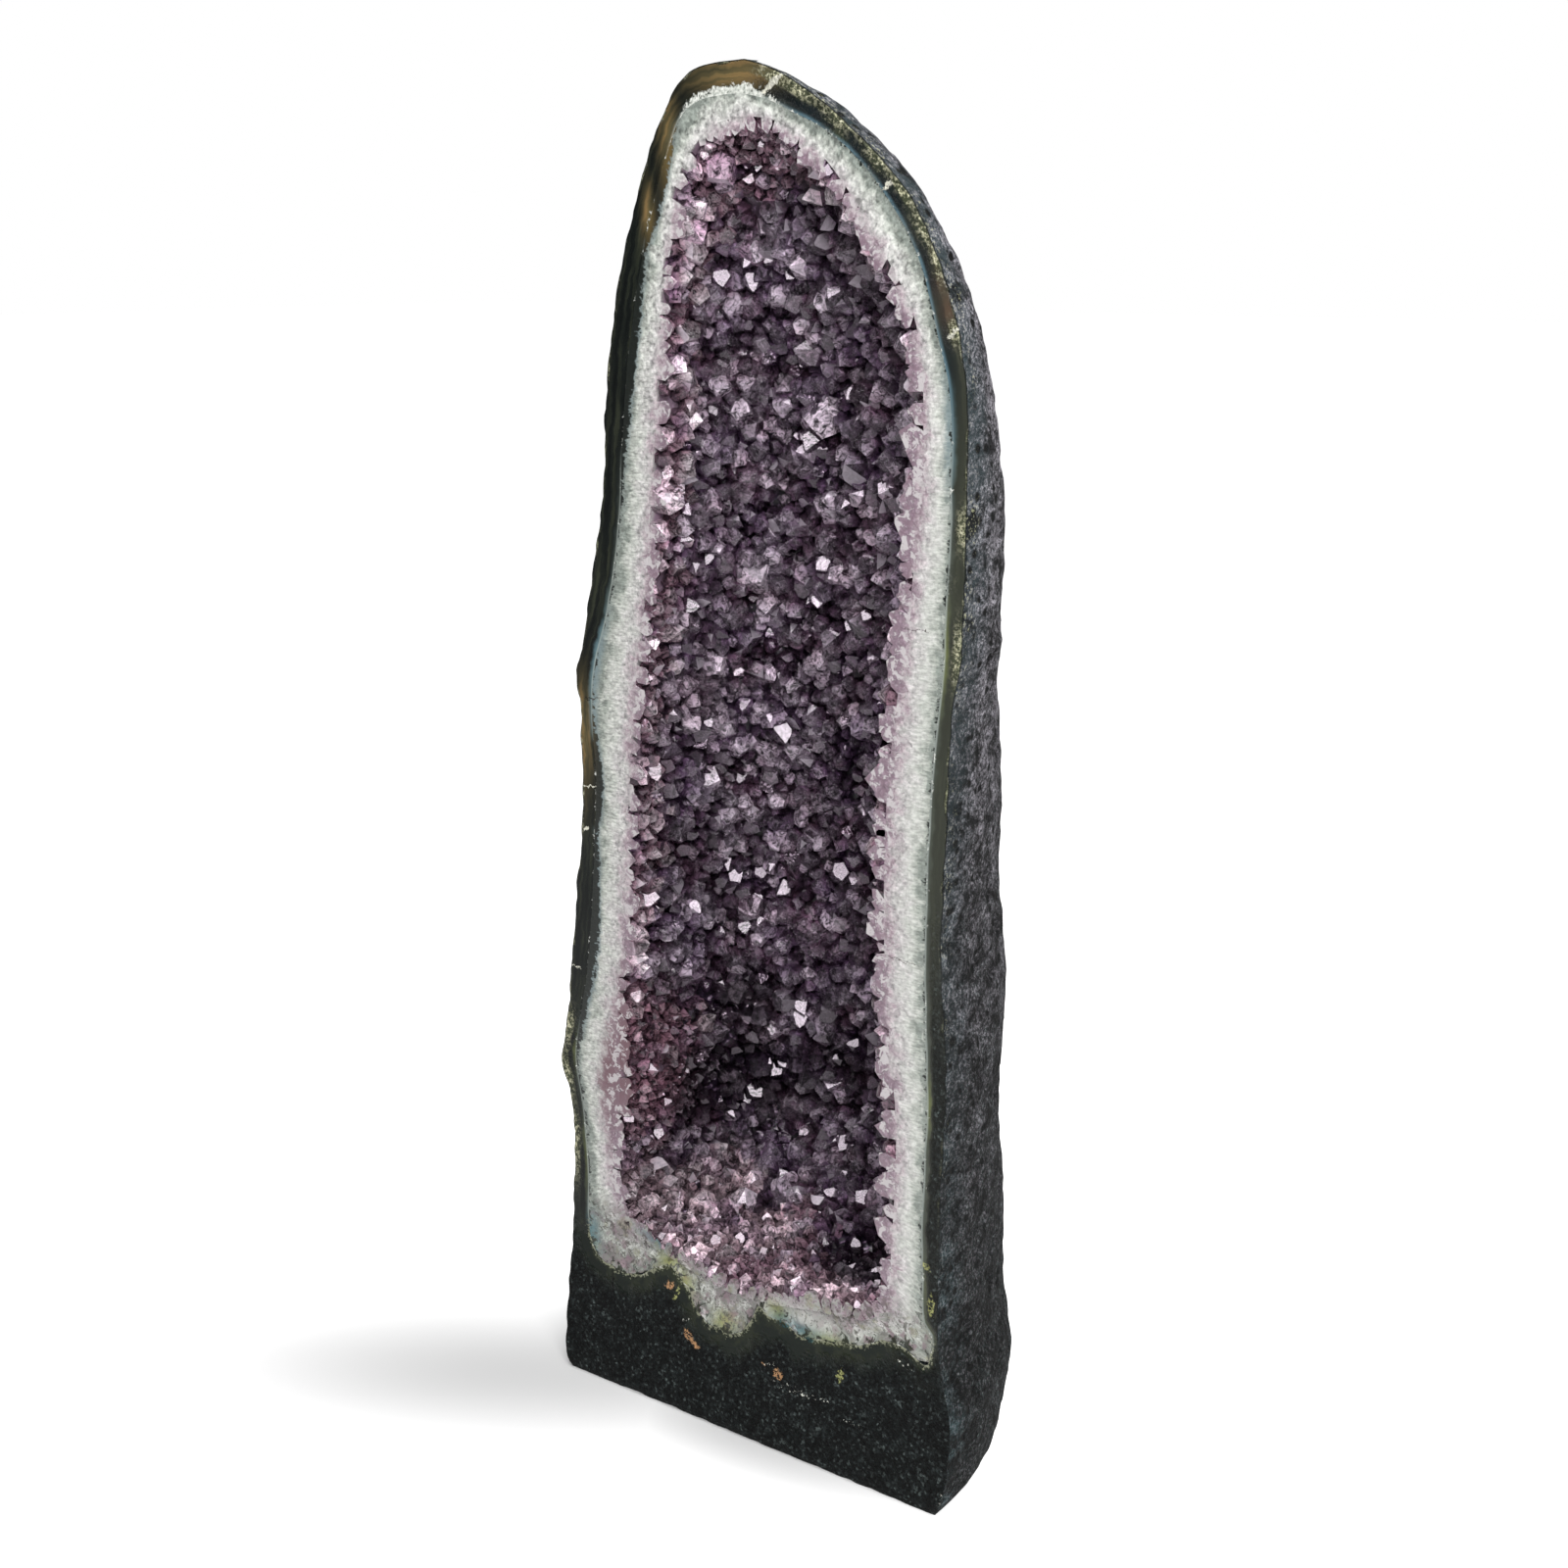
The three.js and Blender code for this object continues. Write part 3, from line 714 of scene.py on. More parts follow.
def set_inputs(tree, node, inputs):
    """Links each of these inputs of the node, or gives it its value. A node stands for its first output, and
    a text starting with # is a colour."""
    for name, value in inputs.items():
        if isinstance(value, bpy.types.Node):
            value = value.outputs[0]
        if isinstance(value, bpy.types.NodeSocket):
            tree.links.new(value, node.inputs[name])
        else:
            is_colour = isinstance(value, str) and value.startswith("#")
            node.inputs[name].default_value = linear(value) if is_colour else value


def add(tree, kind, inputs=None, stops=(), **settings):
    """Adds a node with its settings, its ramp's stops and its inputs. A kind without Node in its name is a
    shader node."""
    node = tree.nodes.new(kind if "Node" in kind else "ShaderNode" + kind)
    for name, value in settings.items():
        setattr(node, name, value)
    for _ in stops[2:]:
        node.color_ramp.elements.new(1)
    for element, (place, colour) in zip(node.color_ramp.elements if stops else (), stops):
        element.position = place
        element.color = linear(colour)
    set_inputs(tree, node, inputs or {})
    return node


# The inputs that rows of values are given for.
NOISE = ("Vector", "Scale", "Detail", "Roughness", "Distortion")
RANGE = ("Value", "From Min", "From Max", "To Min", "To Max")


def each(tree, kind, output, names, *rows, **settings):
    """Adds one node for each row of values of the named inputs, and gives this output of each node."""
    return [add(tree, kind, dict(zip(names, row)), **settings).outputs[output] for row in rows]


# The sowings of crystals, in metres: least distance, how densely they are tried, least and most radius, how
# far their shoulders rise over the wall, how far they lean, and how many grow on coarse and on fine places.
SOWINGS = {
    "ordinary": (0.0073, 210000.0, 0.0036, 0.0072, (-0.001, 0.0052), 0.55, (1.0, 0.1)),
    "fine": (0.0055, 360000.0, 0.0028, 0.0045, (-0.0005, 0.0034), 0.6, (0.0, 1.0)),
    "large": (0.034, 6000.0, 0.0074, 0.0094, (0.001, 0.003), 0.4, (1.0, 0.0)),
}
SIZES = ("spacing", "least radius", "most radius")
# The crystals are two pieces, one above the other: each crystal belongs to the piece that its foot stands in.
CRYSTAL_PIECES = {"amethyst_points_below": (0.0, 0.40), "amethyst_points_above": (0.40, HEIGHT * MM)}


def sowing_tree(patterns):
    """Crystals sown over a wall, joined in one solid and trimmed to the hollow's room."""
    tree = bpy.data.node_groups.new("crystals_grown_on_wall", "GeometryNodeTree")
    sockets = {
        "Geometry": "Geometry", "Room": "Object", "Seed": "Int", "Crystal material": "Material",
        "Standing out": "Collection", "Lowest": "Float", "Highest": "Float"}
    sockets |= {f"{name} {size}": "Float" for name in SOWINGS for size in SIZES}
    for name, kind in sockets.items():
        tree.interface.new_socket(name, in_out="INPUT", socket_type=f"NodeSocket{kind}")
    tree.interface.new_socket("Geometry", in_out="OUTPUT", socket_type="NodeSocketGeometry")
    given = add(tree, "NodeGroupInput").outputs
    kinds, placed = each(
        tree, "GeometryNodeCollectionInfo", 0, ("Collection", "Separate Children", "Reset Children"),
        (patterns, True, True), (given["Standing out"], True))
    fineness = add(tree, "GeometryNodeInputNamedAttribute", {"Name": "fineness"}, data_type="FLOAT")
    crop = add(tree, "GeometryNodeJoinGeometry", {0: placed})
    place = add(tree, "GeometryNodeInputPosition")
    height = add(tree, "SeparateXYZ", {0: place}).outputs[2]
    between = product(
        tree, worked(tree, "GREATER_THAN", height, given["Lowest"]),
        worked(tree, "LESS_THAN", height, given["Highest"]))
    for number, (name, sowing) in enumerate(SOWINGS.items()):
        _, density, _, _, rise, tilt, shares = sowing
        wanted, = each(
            tree, "MapRange", 0, RANGE, (fineness.outputs["Attribute"], 0.25, 0.75, *shares))
        feet = add(tree, "GeometryNodeDistributePointsOnFaces", {
            "Mesh": given["Geometry"], "Distance Min": given[f"{name} spacing"], "Density Max": density,
            "Density Factor": wanted, "Seed": worked(tree, "ADD", given["Seed"], float(number * 7))},
            distribute_method="POISSON").outputs
        kept = add(tree, "GeometryNodeSeparateGeometry", {
            "Geometry": feet["Points"], "Selection": between}, domain="POINT")
        # Random for each crystal: how far it is raised, how it leans, its radius, and which pattern it has.
        lift, lean, radius, which = (
            add(tree, "FunctionNodeRandomValue", {
                2 * output: low, 2 * output + 1: high, "Seed": number + seed}, data_type=kind).outputs[output]
            for kind, output, (low, high), seed in (
                ("FLOAT", 1, rise, 31),
                ("FLOAT_VECTOR", 0, ((-tilt, -tilt, 0), (tilt, tilt, 2 * math.pi)), 1),
                ("FLOAT", 1, (given[f"{name} least radius"], given[f"{name} most radius"]), 11),
                ("INT", 2, (0, PATTERNS - 1), 21)))
        upwards = add(tree, "VectorMath", {0: feet["Normal"], "Scale": lift}, operation="SCALE")
        raised = add(tree, "GeometryNodeSetPosition", {"Geometry": kept, "Offset": upwards})
        leaning = add(tree, "FunctionNodeEulerToRotation", {0: lean})
        turned = add(
            tree, "FunctionNodeRotateRotation", {0: feet["Rotation"], 1: leaning}, rotation_space="LOCAL")
        grown = add(tree, "GeometryNodeInstanceOnPoints", {
            "Points": raised, "Instance": kinds, "Pick Instance": True, "Instance Index": which,
            "Rotation": turned, "Scale": radius})
        set_inputs(tree, crop, {0: grown})
    joined, trimmed = (
        add(tree, "GeometryNodeMeshBoolean", operation=operation, solver="MANIFOLD")
        for operation in ("UNION", "INTERSECT"))
    room = add(tree, "GeometryNodeObjectInfo", {"Object": given["Room"]})
    set_inputs(tree, joined, {1: crop})
    set_inputs(tree, trimmed, {1: joined})
    set_inputs(tree, trimmed, {1: room.outputs["Geometry"]})
    real = add(tree, "GeometryNodeRealizeInstances", {0: trimmed})
    painted = add(tree, "GeometryNodeSetMaterial", {"Geometry": real, "Material": given["Crystal material"]})
    add(tree, "NodeGroupOutput", {0: painted})
    return tree


def grown_on(wall, tree, values):
    """The mesh that the tree grows on the wall with these values of its inputs."""
    grow = wall.modifiers.new("grow", "NODES")
    grow.node_group = tree
    for item in tree.interface.items_tree:
        if item.in_out == "INPUT" and item.name in values:
            grow[item.identifier] = values[item.name]
    graph = bpy.context.evaluated_depsgraph_get()
    mesh = bpy.data.meshes.new_from_object(wall.evaluated_get(graph))
    wall.modifiers.remove(grow)
    return mesh


def amethyst_points(material):
    """The crystals as closed meshes, one for each of their pieces."""
    patterns = bpy.data.collections.new("quartz_point_patterns")
    random = np.random.default_rng(17)
    for index in range(PATTERNS):
        patterns.objects.link(quartz_point(index, random))
    wall, room = scatter_wall(), hollow_room()
    feet = wall_feet(wall)
    tree = sowing_tree(patterns)
    values = {"Room": room, "Seed": 5, "Crystal material": material}
    for name, (spacing, _, least, most, *_) in SOWINGS.items():
        values |= {f"{name} {size}": value for size, value in zip(SIZES, (spacing, least, most))}
    pieces = []
    for name, (lowest, highest) in CRYSTAL_PIECES.items():
        prominent = standing_out(feet, random, lowest, highest)
        mesh = grown_on(
            wall, tree, values | {"Standing out": prominent, "Lowest": lowest, "Highest": highest})
        mesh.name = name
        if "fineness" in mesh.attributes:
            mesh.attributes.remove(mesh.attributes["fineness"])
        points = points_of(mesh)
        give(mesh, {
            "stand": [feet.find_nearest(v.co)[3] / MM for v in mesh.vertices],
            # the dark attribute is painted shade, strongest on the crystals in the pits
            "dark": near_places(points, PAINTED_SHADE_PLACES),
            "whitish": near_places(points, PALE_PLACES),
            "warm": near_places(points, WARM_PLACES)})
        for crystal in list(prominent.objects):
            bpy.data.objects.remove(crystal)
        bpy.data.collections.remove(prominent)
        pieces.append(in_scene(name, mesh))
    for pattern in [wall, room] + list(patterns.objects):
        bpy.data.objects.remove(pattern)
    bpy.data.collections.remove(patterns)
    return pieces


def milky_ones(piece, material):
    """Gives crystals near the sawn face, and some of the fine ones, the milky material."""
    mesh = piece.data
    mesh.materials.append(material)
    points = points_of(mesh)
    behind = points[:, 1] - FACE_Y
    milky = np.maximum(np.clip(1.1 - behind / MILKY_DEPTH, 0, 1), 0.6 * near_places(points, FINE_PLACES))
    milky = np.maximum(milky, near_places(points, PALE_PLACES))
    # no crystal is milky where the painted shade lies
    milky *= 1 - near_places(points, PAINTED_SHADE_PLACES)
    tint = mesh.attributes["tint"].data
    for face in mesh.polygons:
        if milky[face.vertices[0]] > 0.15 + 0.75 * tint[face.index].value:
            face.material_index = len(mesh.materials) - 1


def sawn_ends(piece, material):
    """Gives the crystals' ends that the saw has cut flat the face's own masks and material."""
    mesh = piece.data
    points = points_of(mesh)
    cut = np.abs(points[:, 1] - FACE_Y - SAWN_BEHIND) < 0.05
    give(mesh, face_masks(points, cut))
    mesh.materials.append(material)
    for face in mesh.polygons:
        if all(cut[i] for i in face.vertices):
            face.material_index = len(mesh.materials) - 1


def new_material(name):
    """A material, its tree, its shader, and the place on the piece that its patterns read."""
    material = bpy.data.materials.new(name)
    material.use_nodes = True
    tree = material.node_tree
    tree.nodes.clear()
    shader = add(tree, "BsdfPrincipled")
    add(tree, "OutputMaterial", {"Surface": shader})
    return material, tree, shader, add(tree, "TexCoord").outputs["Object"]


def read(tree, names):
    """The attributes of these names."""
    return [add(tree, "Attribute", attribute_name=name).outputs["Fac"] for name in names.split()]


def amounts(tree, *ranges):
    """Amounts that each go smoothly from 0 to 1 while a value goes from its start to its end."""
    return each(tree, "MapRange", 0, RANGE, *ranges, interpolation_type="SMOOTHSTEP")


def worked(tree, operation, *values):
    """The result of an operation on the values, taken one after another."""
    total = values[0]
    for value in values[1:]:
        total = add(tree, "Math", {0: total, 1: value}, operation=operation)
    return total


def product(tree, *values):
    return worked(tree, "MULTIPLY", *values)


def total_of(tree, *terms):
    """The sum of the terms, where a pair is a value and its weight."""
    return worked(tree, "ADD", *(product(tree, *term) if isinstance(term, tuple) else term for term in terms))


def layered(tree, under, *layers):
    """Colours laid over one another. Each layer has the factors of how much of it shows, and its colour."""
    for *factors, colour in layers:
        under = add(tree, "Mix", {0: product(tree, *factors), 6: under, 7: colour},
                    data_type="RGBA").outputs[2]
    return under


def shaded(tree, colour, shade, share=1.0):
    """The colour darkened or lightened by a grey shade, over this share of it."""
    return add(tree, "Mix", {0: share, 6: colour, 7: shade},
               data_type="RGBA", blend_type="MULTIPLY").outputs[2]


# How far the marks' outlines are moved at most, in metres, and how far behind the face they reach.
MARK_WANDER = 0.007
MARK_DEPTH = 9.0
# Sharp marks on the sawn face.
ORANGE_CHIPS = [
    (-58, 85, 4, 3, 20), (-43, 56, 3.2, 5, 25), (-38, 51, 4, 3, -30), (26, 53, 4, 4, 0), (15, 56, 1, 2, 0),
]
PALE_SPECKS = [
    (20, 58, 6, 1.3, 25), (33, 46, 7, 2.5, 30), (45, 46, 9, 2.2, 8), (60, 47, 5, 1.2, 0), (24, 46, 3, 2, 0),
    (80, 40, 9, 0.9, 4), (-45, 66, 5, 0.8, 20), (118, 90, 7, 1.5, -8), (143, 12, 3, 5, 0),
]
LIME_FLAKES = [(72, 68, 2.4, 5, -15), (131, 155, 2.2, 4, 30), (134, 132, 2.6, 7.5, 0), (-52, 82, 1.5, 7, -25)]
TEAL_SPOTS = [(31, 90, 6, 5, 20), (46, 85, 8, 2.2, -8)]
PALE_CRACKS = [
    (-113.5, 393, 7.5, 0.5, 4), (-130, 277, 5, 0.45, -3), (96, 735, 4, 0.9, 35), (137, 664, 5, 1.1, 45),
    (23, 787, 9, 1.8, 38), (-119, 366, 3, 1.2, 20), (-118, 560, 6, 0.4, 8),
]
DARK_CRACKS = [
    (-104.5, 70, 0.8, 13, 3), (-76, 107, 0.9, 4, 25), (-112, 447, 8, 0.35, 5), (112, 330, 14, 0.3, -4),
    (117, 512, 10, 0.3, 3),
]


def marked(tree, place, marks):
    """Where the listed marks lie: offset, height, half their width and height in mm, and degrees turned.
    Their outlines wander by about 1.5 mm."""
    wander, = each(tree, "TexNoise", "Color", NOISE, (place, 330.0, 3.0, 0.7))
    offset = add(tree, "VectorMath", {
        0: wander, 1: (MARK_WANDER,) * 3, 2: (-MARK_WANDER / 2,) * 3}, operation="MULTIPLY_ADD")
    place = add(tree, "VectorMath", {0: place, 1: offset}, operation="ADD")
    found = []
    for x, z, wide, high, turned in marks:
        local = add(tree, "Mapping", {
            "Vector": place, "Location": (x * MM, FACE_Y * MM, z * MM),
            "Rotation": (0, -math.radians(turned), 0), "Scale": (wide * MM, MARK_DEPTH * MM, high * MM)},
            vector_type="TEXTURE")
        far = add(tree, "VectorMath", {0: local}, operation="LENGTH")
        found.append(far.outputs["Value"])
    return amounts(tree, (worked(tree, "MINIMUM", *found), 1.05, 0.75))[0]


def behind_face(far):
    """Where a surface this many millimetres behind the face's plane lies along Y."""
    return (FACE_Y + far) * MM


def askew(tree, place):
    """The place turned about all three axes, so that a pattern shows no rows along the faces."""
    return add(tree, "Mapping", {"Vector": place, "Rotation": ASKEW})


def basalt(tree, place):
    """Colour and relief of dark basalt with its green clay skin: grains, some pale, and 12 mm patches. The
    grains are 1 mm across, and are drawn about half as coarse again, so that they show."""
    grain = add(tree, "TexVoronoi", {"Vector": place, "Scale": 620.0, "Randomness": 1.0}).outputs
    random = add(tree, "SeparateColor", {0: grain["Color"]})
    patch, speck = each(tree, "TexNoise", "Fac", NOISE, (place, 85.0, 4.0, 0.6), (place, 400.0, 3.0, 0.7))
    colour = add(tree, "ValToRGB", {0: random}, stops=(
        (0, "#060808"), (0.55, "#111515"), (0.86, "#202525"), (1, "#414847")))
    shade, mottle = each(
        tree, "MapRange", 0, RANGE, (patch, 0.35, 0.65, 0.35, 1.2), (speck, 0.36, 0.64, 0.35, 1.9))
    relief = total_of(tree, (speck, 2.0), grain["Distance"])
    return shaded(tree, colour, product(tree, shade, mottle)), relief


def natural_basalt():
    """Basalt broken loose and left rough: dull and grainy, bluish green near the rim, and with painted light
    from above making it greyer and paler up the side."""
    material, tree, shader, place = new_material("natural_rough_basalt")
    _, y, z = add(tree, "SeparateXYZ", {0: place}).outputs
    turned = askew(tree, place)
    drawn_out = add(tree, "Mapping", {"Vector": place, "Scale": (1.0, 0.7, 1.0)})
    colour, relief = basalt(tree, turned)
    # Clouds of 30 mm, pale salt of 2 mm, blotches of 12 mm drawn out from front to back, and pits of 10 mm,
    # sunk and painted near black as shade.
    cloud, salt, blotch = each(
        tree, "TexNoise", "Fac", NOISE, (turned, 32.0, 6.0, 0.7), (turned, 480.0, 4.0, 0.75),
        (askew(tree, drawn_out), 80.0, 7.0, 0.75, 0.5))
    pits = add(tree, "TexVoronoi", {"Vector": turned, "Scale": 95.0}).outputs["Distance"]
    up, near_face, cloudy, pit, light, dark, specks, at_rim = amounts(
        tree, (z, 0.05, 0.75), (y, behind_face(35), behind_face(4)), (cloud, 0.4, 0.62), (pits, 0.3, 0.14),
        (salt, 0.52, 0.6), (salt, 0.49, 0.42), (salt, 0.57, 0.61), (y, behind_face(16), behind_face(2)))
    shade, = each(tree, "MapRange", 0, RANGE, (blotch, 0.41, 0.6, 0.1, 2.1))
    # Painted light from above: the greys laid over the basalt grow stronger up the side.
    colour = layered(
        tree, colour,
        (up, cloudy, 0.8, "#7a767d"),
        (up, 0.4, "#757177"),
        (near_face, cloudy, 0.6, "#36474a"),
        (light, total_of(tree, (up, 0.75), 0.2), "#8f8c92"),
        (dark, 0.9, "#111515"))
    colour = layered(
        tree, shaded(tree, colour, shade),
        (near_face, up, worked(tree, "SUBTRACT", 1.0, cloudy), 0.5, "#4a5a5f"),
        # painted shade in the pits
        (pit, "#0c0e0e"),
        (at_rim, specks, cloudy, up, 1.4, "#b4b592"))
    bump = add(tree, "Bump", {
        "Height": total_of(tree, relief, (blotch, 3.0), (pit, -2.0)), "Strength": 1.0, "Distance": 0.0022})
    set_inputs(
        tree, shader, {"Base Color": colour, "Roughness": 0.85, "Specular IOR Level": 0.2, "Normal": bump})
    return material


def sawn_face(name, specular):
    """The sawn face outside the quartz. Agate takes a polish: glossy and nearly black, with a bluish inner
    line and a broken pale rind. Under the crystals it goes over into basalt that the saw has left dull and
    grainy."""
    material, tree, shader, place = new_material(name)
    band, rim, along, golden, rusty, bluish, mossy, creamy, snowy, agated, inky = read(
        tree, "band rim along_rim golden rusty bluish mossy creamy snowy agated inky")
    x, _, z = add(tree, "SeparateXYZ", {0: place}).outputs
    # Patches of 8 mm move the layers' borders, wisps of 2 mm break them, and clouds are 16 mm across.
    patch, wisp, cloud = each(
        tree, "TexNoise", "Fac", NOISE, (place, 120.0, 3.0), (place, 520.0, 4.0, 0.7),
        (place, 60.0, 4.0, 0.6))
    in_from_line = product(tree, band, -1.0)
    deep = total_of(tree, in_from_line, (patch, 5.0), -2.5)
    rim_in = total_of(tree, rim, (patch, 7.0), (wisp, 3.0), -5.0)

    # Growth layers about 3 mm thick run along the agate's line.
    flow = add(tree, "CombineXYZ", {0: product(tree, along, 0.02), 1: product(tree, deep, 0.28)})
    layers, = each(tree, "TexNoise", "Fac", NOISE, (flow, 1.0, 3.0))
    dark, gold, chips, cotton = (
        add(tree, "ValToRGB", {0: value}, stops=stops)
        for value, stops in (
            (layers, ((0.3, "#080b0b"), (0.5, "#131715"), (0.72, "#2e3127"))),
            (layers, ((0.3, "#3c3b2c"), (0.5, "#62573a"), (0.72, "#8d7148"))),
            (wisp, ((0.38, "#3b3f2c"), (0.48, "#84886a"), (0.58, "#c9c6a4"), (0.7, "#e5e2cf"))),
            (wisp, ((0.36, "#7f857c"), (0.5, "#c2c5be"), (0.64, "#dfe0da")))))

    # Out from the quartz: its bluish layer, pale line and glow, the inky layer, and olive ground on the foot.
    inner, line, glow, near_line, olive = amounts(
        tree, (deep, 4.4, 0.6), (in_from_line, 1.6, 0.3), (in_from_line, 2.6, 0.2), (deep, 8.0, 6.4),
        (deep, 22.0, 8.0))
    # In from the outline: the rind, its dark edge, and the ground beside creamy patches.
    rind, edge, outside = amounts(tree, (rim_in, 1.6, 0.6), (rim, 0.9, 0.3), (rim_in, 7.5, 5.0))
    grains, ragged, broken = amounts(tree, (wisp, 0.58, 0.62), (cloud, 0.47, 0.56), (wisp, 0.46, 0.54))
    # Basalt takes over 7 to 20 mm out on the foot, and up the right side it comes in to 4 mm from the quartz.
    foot, low, beside, rightwards, rough_side = amounts(
        tree, (total_of(tree, deep, (cloud, 30.0), -15.0), 7.0, 20.0), (z, 0.118, 0.1),
        (deep, 2.5, 6.0), (x, 0.1, 0.12), (z, 0.4, 0.26))
    # Along the foot, bits of quartz 2 mm across are broken into the agate. Over the top, the white quartz
    # reaches 4 mm out into it with a toothed edge.
    bits, snow = amounts(
        tree, (total_of(tree, (wisp, 16.0), band), 6.4, 7.6),
        (total_of(tree, (snowy, 6.0), (patch, 8.0), (wisp, 12.0), band, -11.0), -0.4, 1.6))
    rough_side = product(tree, beside, rightwards, rough_side, 0.85)
    foot = worked(tree, "MAXIMUM", product(tree, foot, low), rough_side)
    high = worked(tree, "SUBTRACT", 1.0, low)
    plain = worked(tree, "MAXIMUM", total_of(tree, high, (agated, -2.0)), 0.0)
    rind = product(tree, rind, high, worked(tree, "MAXIMUM", ragged, creamy))
    colour, relief = basalt(tree, askew(tree, place))
    orange, specks, lime, teal, pale, black = (
        marked(tree, place, marks)
        for marks in (ORANGE_CHIPS, PALE_SPECKS, LIME_FLAKES, TEAL_SPOTS, PALE_CRACKS, DARK_CRACKS))
    stone = layered(
        tree, dark,
        (golden, 0.92, gold),
        (rusty, 0.85, "#5b3a2c"),
        (rightwards, high, 0.45, "#4b4d42"),
        (inner, bluish, plain, 0.85, "#5f7f8a"),
        (inner, plain, 0.15, "#7f8a82"),
        (inner, grains, agated, 0.7, "#0b0f10"),
        (low, 0.85, "#181e19"),
        (low, ragged, olive, 0.6, "#2c3023"),
        (mossy, inner, high, 0.7, "#6c7242"),
        (mossy, inner, low, broken, 0.8, "#5d6238"),
        (low, bits, 0.8, "#8d8f78"),
        (line, plain, 0.6, "#a3aba6"),
        (rind, chips),
        (creamy, outside, 0.7, "#565b45"),
        (creamy, outside, broken, chips),
        (inky, near_line, 0.95, "#161d20"),
        (inky, glow, 0.8, "#5d7984"),
        (snow, cotton),
        (edge, high, "#141816"),
        (foot, colour),
        (teal, broken, 0.9, "#12474e"),
        (orange, broken, "#b88d66"),
        (specks, grains, "#dfe0d6"),
        (lime, broken, "#a0a269"),
        (pale, "#d5d3c4"),
        (black, "#050606"))
    rough = worked(tree, "MAXIMUM", foot, rind, product(tree, creamy, broken))
    gloss = add(tree, "MapRange", {"Value": rough, "To Min": 0.16, "To Max": 0.7})
    bump = add(tree, "Bump", {"Height": product(tree, relief, rough), "Strength": 0.9, "Distance": 0.0015})
    set_inputs(tree, shader, {
        "Base Color": stone, "Roughness": gloss, "IOR": 1.54, "Specular IOR Level": specular, "Normal": bump})
    return material


